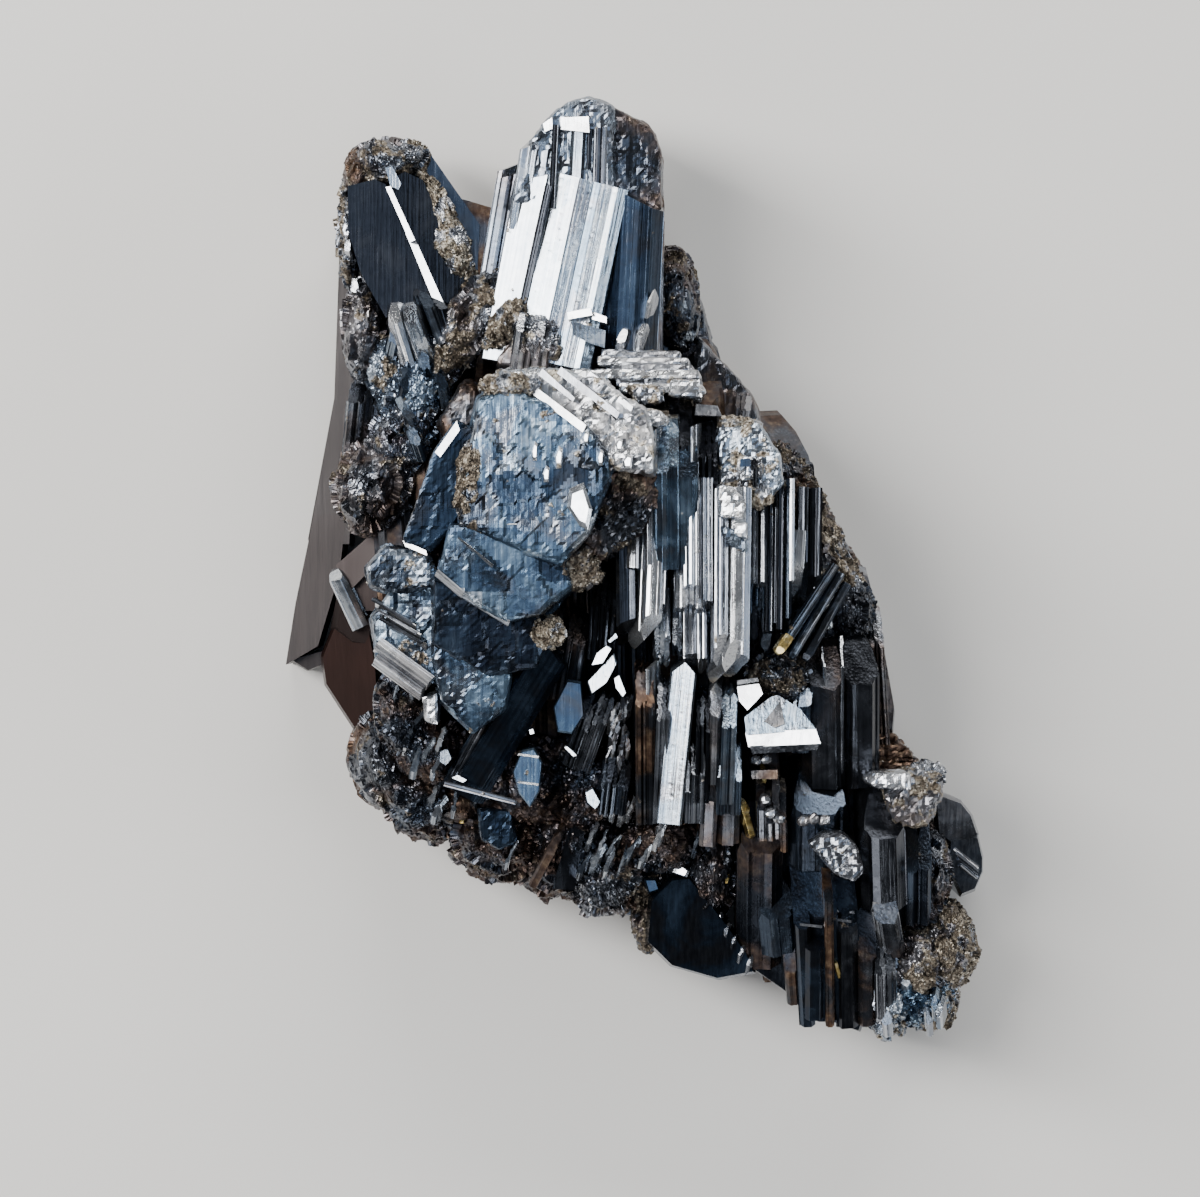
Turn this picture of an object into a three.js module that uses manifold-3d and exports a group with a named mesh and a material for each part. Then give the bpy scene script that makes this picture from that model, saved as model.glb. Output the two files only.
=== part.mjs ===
// Stibnite cluster: stout striated prisms, blocks and plates, grown together into one mass and broken off its vein.
// Millimetres, +Z up. The cluster lies on its broken back. Its longest way is +Y, and the origin is on the broken
// face, under the middle of the bounding box.
import * as THREE from "three";
import { ConvexGeometry } from "three/addons/geometries/ConvexGeometry.js";
import { mergeVertices } from "three/addons/utils/BufferGeometryUtils.js";
import Module from "manifold-3d";

// Driving dimensions.
const LENGTH = 95; // overall, along Y
const WIDTH = 70.6; // overall, along X
const HALF_LENGTH = LENGTH / 2;
const HALF_WIDTH = WIDTH / 2;
const CORNER = 0.26; // how much of a prism's thinner side its bevelled corners take
const STAGGER = 0.05; // how far a bundle's staves fall short of its tip, as a share of its length
const STAVE_RELIEF = 0.08; // how much deeper or shallower a bundle's staves are
const STAVE_OVERLAP = 1.2; // a stave's width over its share of the bundle's
const LUMP_ROUGHNESS = 0.16; // how far a lump's corners stand in or out, as a share of its radius
const SHOULDER = 0.25; // where a crystal starts to narrow to its tip, as a share of its length, unless it says
const SHOULDER_DROP = 0.6; // how far a slanted tip's shoulder drops, as a share of the tip's own drop
const WELD = 1e-4; // corners closer than this are one corner
const STEEL = { color: 0x5d6470, roughness: 0.28, metalness: 1.0 };

const wasm = await Module();
wasm.setup();

// A closed three.js geometry as a solid that can be joined and cut.
function solidOf(geometry) {
  const bare = geometry.clone();
  bare.deleteAttribute("normal");
  bare.deleteAttribute("uv");
  const merged = mergeVertices(bare, WELD);
  return new wasm.Manifold(
    new wasm.Mesh({
      numProp: 3,
      vertProperties: merged.attributes.position.array,
      triVerts: new Uint32Array(merged.index.array),
    }),
  );
}

// The eight corners of a prism's cross section: a rectangle of width by depth with its corners bevelled.
function section(width, depth) {
  const bevel = CORNER * Math.min(width, depth);
  const u = width / 2;
  const v = depth / 2;
  return [
    [u, v - bevel],
    [u - bevel, v],
    [bevel - u, v],
    [-u, v - bevel],
    [-u, bevel - v],
    [bevel - u, -v],
    [u - bevel, -v],
    [u, bevel - v],
  ];
}

// One crystal, from the middle of its foot to its tip. Width lies across it as seen from above, depth up and down.
// `root` scales the foot, `roll` turns the crystal about its length in degrees, and `beside` moves it across. Over the
// last `shoulder` mm it narrows to `crown` times its section, whose middle moves by `shift`. `slant` drops the crown's
// right side and its upper side by that many mm.
function crystal(foot, tip, width, depth, options = {}) {
  const { roll = 0, root = 1, crown = [0.3, 0.4], shift = [0, 0], slant = [0, 0], beside = 0 } = options;
  const from = new THREE.Vector3(...foot);
  const along = new THREE.Vector3(...tip).sub(from);
  const length = along.length();
  const shoulder = options.shoulder ?? SHOULDER * length;
  along.normalize();
  const across = new THREE.Vector3().crossVectors(along, new THREE.Vector3(0, 0, 1)).normalize();
  const up = new THREE.Vector3().crossVectors(across, along);
  const frame = new THREE.Matrix4().makeBasis(across, along, up).setPosition(from);
  frame.multiply(new THREE.Matrix4().makeRotationY(THREE.MathUtils.degToRad(roll)));
  frame.multiply(new THREE.Matrix4().makeTranslation(beside, 0, 0));

  const corners = section(width, depth);
  const points = [];
  for (const [u, v] of corners) {
    const drop = slant[0] * (0.5 + u / width) + slant[1] * (0.5 + v / depth);
    points.push(new THREE.Vector3(u * root, 0, v * root));
    points.push(new THREE.Vector3(u, length - shoulder - SHOULDER_DROP * drop, v));
    points.push(new THREE.Vector3(u * crown[0] + shift[0], length - drop, v * crown[1] + shift[1]));
  }
  return solidOf(new ConvexGeometry(points).applyMatrix4(frame));
}

// A crystal grown as staves side by side, each ending at its own length and standing out by its own amount.
function bundle(foot, tip, width, depth, staves, options = {}) {
  const pitch = width / staves;
  return Array.from({ length: staves }, (_, i) => {
    const shortfall = STAGGER * (1 + roughness(i, staves, width));
    const end = tip.map((value, axis) => value - shortfall * (value - foot[axis]));
    const thickness = depth * (1 + STAVE_RELIEF * roughness(width, i, depth));
    const beside = (i + 0.5) * pitch - width / 2;
    return crystal(foot, end, STAVE_OVERLAP * pitch, thickness, { ...options, beside });
  });
}

// A thick tablet from the corners of its front face. The face behind it lies at height `back`, with its outline
// spread to `flare` times the front's.
function tablet(front, back, flare = 1.1) {
  const corners = front.map((corner) => new THREE.Vector3(...corner));
  const middle = corners.reduce((sum, corner) => sum.add(corner), new THREE.Vector3()).divideScalar(corners.length);
  const behind = corners.map((corner) => {
    const spread = corner.clone().sub(middle).multiplyScalar(flare).add(middle);
    return spread.setZ(back);
  });
  return solidOf(new ConvexGeometry([...corners, ...behind]));
}

// A steady value from -1 to 1 for a place, so that every lump is rough in its own way and the same on each run.
function roughness(x, y, z) {
  const wave = Math.sin(x * 12.9898 + y * 78.233 + z * 37.719) * 43758.5453;
  return 2 * (wave - Math.floor(wave)) - 1;
}

// A knobbly lump of fine-grained ore: a ball of flat faces, stretched to its radii and pushed in and out.
function lump(centre, radii, turn = 0) {
  const ball = new THREE.IcosahedronGeometry(1, 1);
  ball.deleteAttribute("normal");
  ball.deleteAttribute("uv");
  const knob = mergeVertices(ball, WELD);
  const place = knob.attributes.position;
  for (let i = 0; i < place.count; i++) {
    const [x, y, z] = [place.getX(i), place.getY(i), place.getZ(i)];
    const scale = 1 + LUMP_ROUGHNESS * roughness(x + centre[0], y + centre[1], z + centre[2]);
    place.setXYZ(i, x * scale * radii[0], y * scale * radii[1], z * scale * radii[2]);
  }
  const spin = new THREE.Matrix4().makeRotationZ(THREE.MathUtils.degToRad(turn)).setPosition(...centre);
  return solidOf(knob.applyMatrix4(spin));
}

// The massive ore behind the crystals: broad blades that lie side by side, which the broken back cuts through.
function massiveOre() {
  return [
    crystal([-3, -26, 13], [-4, 25, 14], 25, 30, { shoulder: 8, crown: [0.6, 0.5], roll: 6 }),
    crystal([-15, -22, 11], [-19, 24, 12], 17, 26, { shoulder: 9, crown: [0.5, 0.5], roll: -14 }),
    crystal([11, -32, 12], [7, 17, 13], 19, 28, { shoulder: 9, crown: [0.5, 0.5], roll: 12 }),
    crystal([21, -40, 10], [15, 2, 11], 15, 22, { shoulder: 10, crown: [0.5, 0.5], roll: -8 }),
    crystal([-4, -26, 10], [-25, -12, 10], 12, 22, { shoulder: 6, crown: [0.6, 0.5] }),
  ];
}

// The tallest prism, at the top: three staves side by side under one rounded end, with a stepped left flank.
function tower() {
  return [
    crystal([-4, 10, 19], [-2.7, HALF_LENGTH - 0.1, 20.5], 11, 14, { shoulder: 6, crown: [0.4, 0.4], shift: [-0.4, 0] }),
    crystal([-10.6, 12, 19], [-8.8, 44.6, 20], 6, 12, { shoulder: 5, crown: [0.5, 0.5], shift: [1.6, 0] }),
    crystal([0.4, 12, 17], [0.2, 44, 18], 5.4, 12, { shoulder: 5, crown: [0.4, 0.5], shift: [-0.8, 0] }),
    ...bundle([-13.4, 18, 16], [-13.2, 38.8, 16.4], 4.4, 10, 3, { shoulder: 2, crown: [0.7, 0.5] }),
    crystal([-14.8, 18, 12], [-15.2, 36, 12], 4.2, 8, { shoulder: 3, crown: [0.5, 0.4], shift: [0.8, 0] }),
    ...bundle([2.6, 12, 15], [3.8, 33.6, 13], 4, 10, 2, { shoulder: 3, crown: [0.6, 0.4] }),
    ...bundle([5, 8, 15], [5.8, 28, 13], 6, 11, 3, { shoulder: 3, crown: [0.6, 0.4] }),
    ...bundle([9, 4, 15], [8.8, 21, 13], 6, 12, 3, { shoulder: 3, crown: [0.6, 0.4] }),
  ];
}

// The leaning spire at the top left, with the flat blade behind it and the upright one at its left.
function spire() {
  return [
    crystal([-15.5, 20, 17], [-25.5, 45.2, 18], 8.6, 9, { shoulder: 4, crown: [0.62, 0.5], slant: [2, 0] }),
    crystal([-12.5, 23, 12], [-20.6, 42.8, 12], 6, 6, { shoulder: 2, crown: [0.8, 0.5], slant: [4, 0] }),
    crystal([-26.6, 14, 13], [-27.4, 42.4, 14], 4.6, 9, { shoulder: 5, crown: [0.5, 0.5], shift: [0.4, 0] }),
    crystal([-13, 16, 11], [-15.6, 34, 11], 8, 8),
  ];
}

// The long smooth blades that make the left edge, and the stained plates at their lower end.
function edgeBlades() {
  return [
    crystal([-27.4, 20, 9], [-33.2, -10.4, 8.5], 4.6, 9, { shoulder: 1, crown: [0.9, 0.8], root: 0.9 }),
    crystal([-28.2, 14, 10], [-29, 38, 11], 3.6, 9, { shoulder: 4, crown: [0.6, 0.5] }),
    crystal([-24.4, 8, 12], [-30.6, -11.4, 11], 6, 12, { shoulder: 3, crown: [0.6, 0.6] }),
    crystal([-26, 6, 16], [-29.2, -6.6, 15], 5, 8, { shoulder: 4, crown: [0.3, 0.5] }),
    crystal([-24, -2, 14], [-28, -18, 12], 8, 13, { shoulder: 4, crown: [0.6, 0.6] }),
  ];
}

// Knobs and small prisms down the left side, and the knobs in the saddle under the tower.
function leftDruse() {
  return [
    lump([-26, 24.6, 18], [4.2, 5.6, 5]),
    lump([-25.4, 9.6, 20], [5.4, 6.6, 6.2], -20),
    lump([-15, 24.6, 23.5], [3.4, 6.4, 4.4], -35),
    lump([-10.4, 22.4, 26], [4.4, 2.8, 4]),
    crystal([-21, 8, 18], [-24.6, 24, 22], 4, 6),
    crystal([-18, 8, 20], [-20.4, 26, 24], 5, 7),
    crystal([-17, 10, 22], [-17.4, 21.5, 25.6], 4, 6),
    crystal([-20, 6, 22], [-25.8, 18.6, 24.4], 4.2, 5),
  ];
}

// The great block that stands out furthest: a thick tablet, a stepped one against its foot, and a thin one beside it.
function block() {
  const face = [
    [-14.6, 17, 40],
    [-8.6, 17.9, 41.6],
    [-2.4, 14, 42],
    [-1.2, 9.6, 41.6],
    [-5.6, 0.8, 39.6],
    [-11.2, -6.8, 37],
    [-20.4, -1, 37],
    [-20.6, 5, 38.6],
    [-17, 10.6, 40],
  ];
  const step = [
    [-10.6, -3, 35.4],
    [-13.4, -11, 34],
    [-19.8, -14, 32],
    [-24, -11, 32],
    [-23.6, -3, 34],
    [-20, 4, 36],
  ];
  const side = [
    [-17, 11, 37],
    [-18.6, 12.6, 35],
    [-23, 4, 34],
    [-24.6, -3, 33],
    [-20, 1, 37],
  ];
  const rim = [
    [-13, 18.6, 37],
    [-8.2, 20, 38],
    [0.6, 15.2, 38],
    [1.8, 8, 37],
    [-3, -0.6, 36],
    [-8.6, -7.4, 34],
    [-16, 4, 35],
  ];
  return [tablet(face, 22, 1.1), tablet(rim, 22, 1.06), tablet(step, 20, 1.16), tablet(side, 22, 1.04)];
}

// The stepped prisms between the block and the tower, whose ends face up the cluster.
function steps() {
  return [
    ...bundle([1.6, 3, 23], [0.4, 22.8, 26], 10, 12, 3, { shoulder: 1, crown: [0.94, 0.8], slant: [1, 5] }),
    crystal([6, 2, 24], [5.4, 19.4, 28], 4, 9, { shoulder: 1, crown: [0.9, 0.8], slant: [1, 3] }),
    crystal([4, 0, 28], [3.2, 15.2, 31.4], 6, 9, { shoulder: 1, crown: [0.9, 0.7], slant: [1, 2] }),
    crystal([8, -8, 25], [7, 16.6, 28], 4.4, 10, { shoulder: 1, crown: [0.9, 0.7], slant: [1, 3] }),
    ...bundle([12, -10, 23], [10.8, 15, 26], 6.4, 12, 2, { shoulder: 1, crown: [0.9, 0.8], slant: [2, 6] }),
    crystal([14, -6, 18], [12.4, 10.4, 20], 8, 12, { shoulder: 4, crown: [0.7, 0.6] }),
    lump([16, 6, 20], [4.6, 6.2, 6.4], 40),
  ];
}

// The bundle of bright columns that hang down the middle, with chisel ends.
function columns() {
  const chisel = { shoulder: 2.4, crown: [0.12, 0.6] };
  const cut = { shoulder: 0.6, crown: [0.84, 0.8] };
  return [
    ...bundle([2, 8, 30], [1, -7.2, 31.4], 3.8, 7, 2, { ...chisel, shift: [-0.3, 0] }),
    crystal([5, 9, 30.6], [4.6, -2.6, 32], 3, 7, cut),
    ...bundle([8.6, 9, 30.6], [7.3, -10.4, 32.8], 5, 7.6, 3, { ...chisel, shift: [0.3, 0] }),
    crystal([12, 9, 29], [11.7, -4.8, 30], 3, 8, cut),
    crystal([14.6, 8, 26], [14.4, -6, 29], 3, 8, { shoulder: 2, crown: [0.4, 0.7] }),
    ...bundle([17.4, 6, 22], [17.4, -4, 25], 4.4, 8, 3, { shoulder: 2, crown: [0.5, 0.7] }),
  ];
}

// The prisms that rise to meet them from below, and the small tablets and blades at their left.
function risers() {
  const roof = { shoulder: 2, crown: [0.12, 0.6] };
  const cut = { shoulder: 1, crown: [0.6, 0.6] };
  return [
    ...bundle([3.4, -25, 28], [4.6, -7.2, 31], 4.4, 8, 2, { ...roof, shift: [0.3, 0] }),
    crystal([0.2, -27, 25], [0.4, -9.8, 29.6], 3.4, 8, roof),
    crystal([7.2, -25, 25], [8, -11, 29.6], 2.8, 8, cut),
    crystal([10, -25, 25], [10.4, -12.4, 29.4], 2.6, 8, cut),
    ...bundle([-15.6, -18, 26], [-4.6, -2, 29], 4.4, 8, 2, cut),
    crystal([-9, -17, 27], [-6.6, -8.8, 31.4], 3.6, 5, { crown: [0.5, 0.4] }),
    crystal([-6.6, -15, 28.6], [-3.6, -8.2, 31.8], 2.4, 4, { crown: [0.5, 0.4] }),
    crystal([-11.2, -25, 25], [-11, -16.8, 29.2], 4.8, 5, { crown: [0.4, 0.3] }),
    ...bundle([-4.2, -26, 24], [-2.2, -12.2, 28], 3.4, 6, 2),
    crystal([-7.4, -27, 23], [-4.8, -16.4, 26.6], 3.2, 6),
  ];
}

// The bright wedge, the dark walls at the right of it, and the rod that lies across them.
function rightWall() {
  const wedge = [
    [10.6, -12.2, 30.4],
    [14.2, -11.2, 31],
    [18, -16.6, 30],
    [16.6, -18.4, 28],
    [10.8, -18.2, 28.6],
  ];
  return [
    tablet(wedge, 20, 1.05),
    crystal([19.4, 0, 25], [14.6, -8.2, 30.4], 2.6, 3.4, { shoulder: 1, crown: [0.7, 0.7] }),
    ...bundle([20.4, -22, 19], [19.8, -6.6, 24], 8.6, 12, 3, { shoulder: 2, crown: [0.7, 0.6] }),
    ...bundle([22, -20, 16], [20.2, 1.4, 19], 6.6, 12, 2, { shoulder: 4, crown: [0.6, 0.5] }),
    crystal([23, -20, 11], [18.4, 4, 11], 6.6, 12, { shoulder: 6, crown: [0.6, 0.5] }),
  ];
}

// The dark prisms of the lower right corner, with rough ends that face up the cluster.
function lowerRight() {
  const plate = [
    [0.6, -30.4, 20],
    [5.4, -28.6, 21],
    [12.6, -36, 19],
    [12, -41.4, 15],
    [6.8, -41.6, 14],
    [2.6, -39.6, 14.5],
    [0.2, -35.4, 16],
  ];
  return [
    tablet(plate, 8, 0.8),
    ...bundle([26.4, -36, 16], [26.2, -17.8, 22], 8.6, 12, 2, { shoulder: 1, crown: [0.9, 0.8], slant: [0, 4] }),
    ...bundle([18.6, -34, 19], [18, -18.6, 25], 8, 12, 2, { shoulder: 2, crown: [0.8, 0.7], slant: [0, 3] }),
    ...bundle([20, -42, 15], [19.8, -29.4, 20], 8.8, 12, 4, { shoulder: 1, crown: [0.8, 0.8], slant: [0, 2] }),
    crystal([20, -38, 18], [19.8, -25.4, 23], 7.6, 10, { shoulder: 3, crown: [0.7, 0.8], slant: [0, 5] }),
    crystal([25.2, -41, 16], [24.6, -30.4, 22], 3.6, 9, { shoulder: 2, crown: [0.6, 0.6], slant: [0, 2] }),
    crystal([14, -39.6, 14], [12.6, -25.4, 22], 5, 11, { shoulder: 2, crown: [0.7, 0.6] }),
    crystal([30.2, -34.4, 11.5], [HALF_WIDTH - 2.7, -22.6, 13], 6.8, 9, { shoulder: 4, crown: [0.5, 0.6] }),
    crystal([20, -36, 14], [23.4, 1.4 - HALF_LENGTH, 11], 11, 14, { shoulder: 5, crown: [0.5, 0.6] }),
    crystal([11, -26, 12], [16, -43, 12], 10, 14, { shoulder: 5, crown: [0.5, 0.6] }),
    lump([28, -39, 13], [6.2, 7.2, 8.4]),
  ];
}

// The rounded rim of granular ore along the lower left.
function lowerLeftRim() {
  return [
    lump([-22.4, -19.2, 11], [6.2, 6.4, 10]),
    lump([-15.4, -24.2, 12], [7.8, 5.2, 11], -20),
    lump([-6.6, -27.6, 12], [8, 5.4, 11], -22),
    lump([1, -31, 12], [6, 5.4, 10]),
  ];
}

// Everything below the face where the cluster broke off its vein.
function vein() {
  const depth = 40;
  const slab = new THREE.BoxGeometry(2 * WIDTH, 2 * LENGTH, depth);
  return solidOf(slab.translate(0, 0, -depth / 2));
}

function cluster() {
  const grown = [
    massiveOre(),
    tower(),
    spire(),
    edgeBlades(),
    leftDruse(),
    block(),
    steps(),
    columns(),
    risers(),
    rightWall(),
    lowerRight(),
    lowerLeftRim(),
  ].flat();
  const whole = grown.reduce((mass, piece) => mass.add(piece)).subtract(vein());
  return withoutPockets(whole);
}

// The outer skin alone: the crystals leave a few closed pockets where they meet, and these are filled.
function withoutPockets(solid) {
  return solid.decompose().reduce((most, body) => (body.volume() > most.volume() ? body : most));
}

// A joined solid as a three.js mesh.
function meshOf(solid, name, material) {
  const { vertProperties, triVerts, numProp } = solid.getMesh();
  const geometry = new THREE.BufferGeometry();
  geometry.setAttribute("position", new THREE.BufferAttribute(vertProperties, numProp));
  geometry.setIndex(new THREE.BufferAttribute(triVerts, 1));
  const mesh = new THREE.Mesh(geometry, new THREE.MeshStandardMaterial(material));
  mesh.name = name;
  return mesh;
}

const specimen = new THREE.Group();
specimen.add(meshOf(cluster(), "crystal_cluster", STEEL));

export default specimen;
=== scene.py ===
import math
import random

import bmesh
import bpy
from mathutils import Matrix, Vector, noise


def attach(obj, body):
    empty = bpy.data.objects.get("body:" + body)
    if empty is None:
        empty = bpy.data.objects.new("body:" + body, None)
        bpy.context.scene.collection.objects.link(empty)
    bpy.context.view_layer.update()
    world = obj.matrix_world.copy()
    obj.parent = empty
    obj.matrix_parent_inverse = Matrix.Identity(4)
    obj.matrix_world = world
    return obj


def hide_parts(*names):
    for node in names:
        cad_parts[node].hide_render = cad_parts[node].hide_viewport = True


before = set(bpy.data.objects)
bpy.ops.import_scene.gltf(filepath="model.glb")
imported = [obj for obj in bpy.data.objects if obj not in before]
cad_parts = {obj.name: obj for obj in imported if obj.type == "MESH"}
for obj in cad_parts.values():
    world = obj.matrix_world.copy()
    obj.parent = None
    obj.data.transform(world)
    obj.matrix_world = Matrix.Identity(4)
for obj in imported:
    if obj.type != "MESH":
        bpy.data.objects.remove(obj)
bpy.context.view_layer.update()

# ---------------------------------------------------------------------------------------------------------------
# The studio: a pale floor, a long bright panel at the left that runs beside the upright prisms, dimmer ones at the
# top, the right and the near side, a cool one overhead, and a long-lens camera looking straight down.
bpy.ops.mesh.primitive_plane_add(size=3.0, location=(0, 0, -0.00005))
floor = bpy.context.object
floor.name = "studio_floor"
paper = bpy.data.materials.new("pale_paper")
paper.use_nodes = True
paper_shader = paper.node_tree.nodes["Principled BSDF"]
paper_shader.inputs["Base Color"].default_value = (0.78, 0.77, 0.75, 1)
paper_shader.inputs["Roughness"].default_value = 0.9
floor.data.materials.append(paper)


def panel(name, place, size, watts, colour):
    lamp = bpy.data.lights.new(name, "AREA")
    lamp.shape = "RECTANGLE"
    lamp.size, lamp.size_y = size
    lamp.energy = watts
    lamp.color = colour
    holder = bpy.data.objects.new(name, lamp)
    holder.location = place
    holder.rotation_euler = (Vector((0, 0, 0.02)) - Vector(place)).to_track_quat("-Z", "Y").to_euler()
    bpy.context.scene.collection.objects.link(holder)


panel("key_panel", (-0.40, 0.16, 0.50), (0.20, 0.60), 6.0, (1.0, 0.98, 0.95))
panel("top_panel", (0.10, 0.62, 0.42), (0.60, 0.16), 4.0, (1.0, 0.97, 0.92))
panel("side_panel", (0.60, -0.05, 0.36), (0.50, 0.10), 1.6, (0.93, 0.97, 1.0))
panel("near_panel", (-0.10, -0.60, 0.40), (0.50, 0.14), 1.4, (1.0, 0.97, 0.94))
panel("sky_panel", (0.02, 0.05, 1.1), (0.46, 0.46), 1.0, (0.66, 0.80, 1.0))
world = bpy.data.worlds.new("studio_air")
world.use_nodes = True
world.node_tree.nodes["Background"].inputs["Color"].default_value = (0.06, 0.064, 0.072, 1)
bpy.context.scene.world = world

lens = bpy.data.cameras.new("camera")
lens.lens = 150
lens.sensor_width = 36
lens.clip_start = 0.01
camera = bpy.data.objects.new("camera", lens)
camera.location = (-0.00345, -0.00255, 0.52)
bpy.context.scene.collection.objects.link(camera)
bpy.context.scene.camera = camera

# ---------------------------------------------------------------------------------------------------------------
# The massive ore: broad striated blades that lie side by side behind everything else, and that the flat broken
# back cuts through. It is dull, dark and brown-stained. The tools that grow every crystal are defined here.
MM = 0.001
TIP_CAPS = {
    "flat": [(0.05, 0.10, 0.0)],
    "slant": [(0.45, 0.25, 0.0)],
    "slant_left": [(-0.45, 0.25, 0.0)],
    "shelf": [(0.08, 0.95, 0.0)],
    "roof": [(0.95, 0.10, 0.0), (-0.95, 0.15, 0.0), (0.1, 0.9, 0.25)],
    "chisel": [(0.75, 0.25, 0.0), (-1.3, 0.2, 0.0), (0.0, 0.8, 0.3)],
    "dome": [
        (0.05, 0.22, 0.0), (0.5, 0.15, -0.6), (-0.45, 0.2, -0.5), (1.5, 0.2, -1.9), (-1.4, 0.25, -1.8),
        (0.1, 0.8, -0.6), (0.05, -0.9, -0.8), (4.0, 0.3, -7.4), (-4.0, 0.4, -7.0),
    ],
}
# tone is each face's painted brightness: partly random, and near 1 a painted highlight. navy is blue that is partly
# tarnish and partly painted sky reflection. The brown stain is in places painted warm reflection.
LOOKS = {"tone": 0.4, "navy": 0.0, "stain": 0.0, "crust": 0.0, "crumb": 0.0}
seed = random.Random(802)


def lath_marks(length, lath):
    """Where the laths on a side of this length begin: a few are broad and most are fine."""
    marks, mark = [0.0], lath * seed.lognormvariate(-0.2, 0.65)
    while mark < length - 0.2 * lath:
        marks.append(mark)
        mark += lath * seed.lognormvariate(-0.2, 0.65)
    return [*marks, length]


def cross_section(width, depth, lath, relief, tilt):
    """Corners of a bevelled rectangle whose sides carry flat laths, each a little proud or shy and a little tilted."""
    bevel = 0.24 * min(width, depth)
    u, v = width / 2, depth / 2
    corners = [(u, bevel - v), (u, v - bevel), (u - bevel, v), (bevel - u, v), (-u, v - bevel),
               (-u, bevel - v), (bevel - u, -v), (u - bevel, -v)]
    points = []
    for i, corner in enumerate(corners):
        start, end = Vector(corner), Vector(corners[(i + 1) % 8])
        run = (end - start).normalized()
        outward = Vector((run.y, -run.x))
        side = (end - start).length
        marks = lath_marks(side, lath)
        inset = min(0.3 * relief, 0.1 * lath)
        for a, b in zip(marks, marks[1:]):
            if b - a < 3 * inset:
                continue
            rise = seed.uniform(-relief, 0.3 * relief)
            lean = math.tan(math.radians(seed.gauss(0, tilt))) * (b - a) / 2
            lean = max(-0.6 * relief, min(0.6 * relief, lean))
            points.append(start + (a + inset) * run + outward * (rise - lean))
            points.append(start + (b - inset) * run + outward * (rise + lean))
    return points


def paint(bm, grain=None, cell=0.0, spread=0.0, **look):
    """Stores what the finish reads: brightness, set high on some faces as painted highlight, blue that is partly
    tarnish and partly painted sky reflection, brown that is stain and in places painted warm reflection, and how far
    the crust reaches from the tip.
    """
    layers = {key: bm.faces.layers.float.new(key) for key in LOOKS}
    along = bm.loops.layers.float_vector.new("grain")
    offset = Vector((seed.uniform(0, 90), 0, seed.uniform(0, 90)))
    shades = {}
    for face in bm.faces:
        if cell:
            shade = 2.4 * spread * noise.noise(noise.voronoi(face.calc_center_median() / cell)[1][0] * 6.1)
        else:
            key = tuple(round(c, 2) for c in face.normal)
            shade = shades.setdefault(key, seed.uniform(-spread, spread))
        for key, standard in LOOKS.items():
            face[layers[key]] = look.get(key, standard)
        face[layers["tone"]] = min(1.0, max(0.0, look.get("tone", LOOKS["tone"]) + shade))
        for loop in face.loops:
            loop[along] = (grain(loop.vert.co) if grain else loop.vert.co * Vector((1, 0, 1))) + offset


def finish_part(bm, place, parts):
    bmesh.ops.transform(bm, matrix=Matrix.Scale(MM, 4) @ place, verts=bm.verts)
    mesh = bpy.data.meshes.new("part")
    bm.to_mesh(mesh)
    bm.free()
    parts.append(bpy.data.objects.new("part", mesh))


def crystal(parts, foot, tip, width, depth, cap="roof", roll=0, beside=0, lath=0.5, relief=0.16, tilt=9,
            outline=None, spread=0.25, **look):
    """A striated prism from the middle of its foot to its tip, cut to a point by the cap's planes.

    An outline gives the upper side of its cross-section instead, as points across and up, from left to right."""
    origin, end = Vector(foot), Vector(tip)
    along = (end - origin).normalized()
    length = (end - origin).length
    across = along.cross(Vector((0, 0, 1))).normalized()
    place = Matrix.Translation(origin) @ Matrix((across, along, across.cross(along))).transposed().to_4x4()
    place = place @ Matrix.Rotation(math.radians(roll), 4, "Y") @ Matrix.Translation((beside, 0, 0))
    bm = bmesh.new()
    for attempt in range(9):
        bm.clear()
        if outline:
            section = [Vector((outline[0][0], -depth)), Vector((outline[-1][0], -depth))]
            section += [Vector(point) for point in reversed(outline)]
        else:
            section = cross_section(width, depth, lath, relief, tilt)
        sole = bm.faces.new([bm.verts.new((p.x, 0, p.y)) for p in section])
        top = bmesh.ops.extrude_face_region(bm, geom=[sole])["geom"]
        reach = 1.02 * length + 0.5 * width
        bmesh.ops.translate(bm, verts=[v for v in top if isinstance(v, bmesh.types.BMVert)], vec=(0, reach, 0))
        for lean_u, lean_v, inset in TIP_CAPS[cap]:
            jitter = seed.uniform(-0.06, 0.06)
            cut = bmesh.ops.bisect_plane(
                bm, geom=[*bm.verts, *bm.edges, *bm.faces], dist=1e-5,
                plane_co=(0, length - inset * 0.2 * width, 0), plane_no=(lean_u + jitter, 1, lean_v - jitter),
                clear_outer=True)
            rim = [e for e in cut["geom_cut"] if isinstance(e, bmesh.types.BMEdge)]
            bmesh.ops.holes_fill(bm, edges=rim, sides=0)
        bmesh.ops.remove_doubles(bm, verts=bm.verts, dist=1e-4)
        if all(edge.is_manifold for edge in bm.edges):
            break
    bmesh.ops.recalc_face_normals(bm, faces=bm.faces)
    bmesh.ops.triangulate(bm, faces=[f for f in bm.faces if len(f.verts) > 4])
    bm.normal_update()
    paint(bm, lambda co: Vector((co.x, length - co.y, co.z)), spread=spread, **look)
    finish_part(bm, place, parts)


def staves(parts, foot, tip, width, depth, count, stagger=0.06, **look):
    """A crystal grown as staves side by side, of unequal widths, each ending at its own length and height."""
    marks = sorted(seed.uniform(-0.3, 0.3) + i for i in range(1, count))
    edges = [0.0, *marks, float(count)]
    for a, b in zip(edges, edges[1:]):
        short = seed.uniform(0, stagger)
        end = [t - short * (t - f) for f, t in zip(foot, tip)]
        pitch = width * (b - a) / count
        crystal(parts, foot, end, 1.1 * pitch, depth * seed.uniform(0.86, 1.06),
                beside=width * (a + b) / 2 / count - width / 2, **look)


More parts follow.
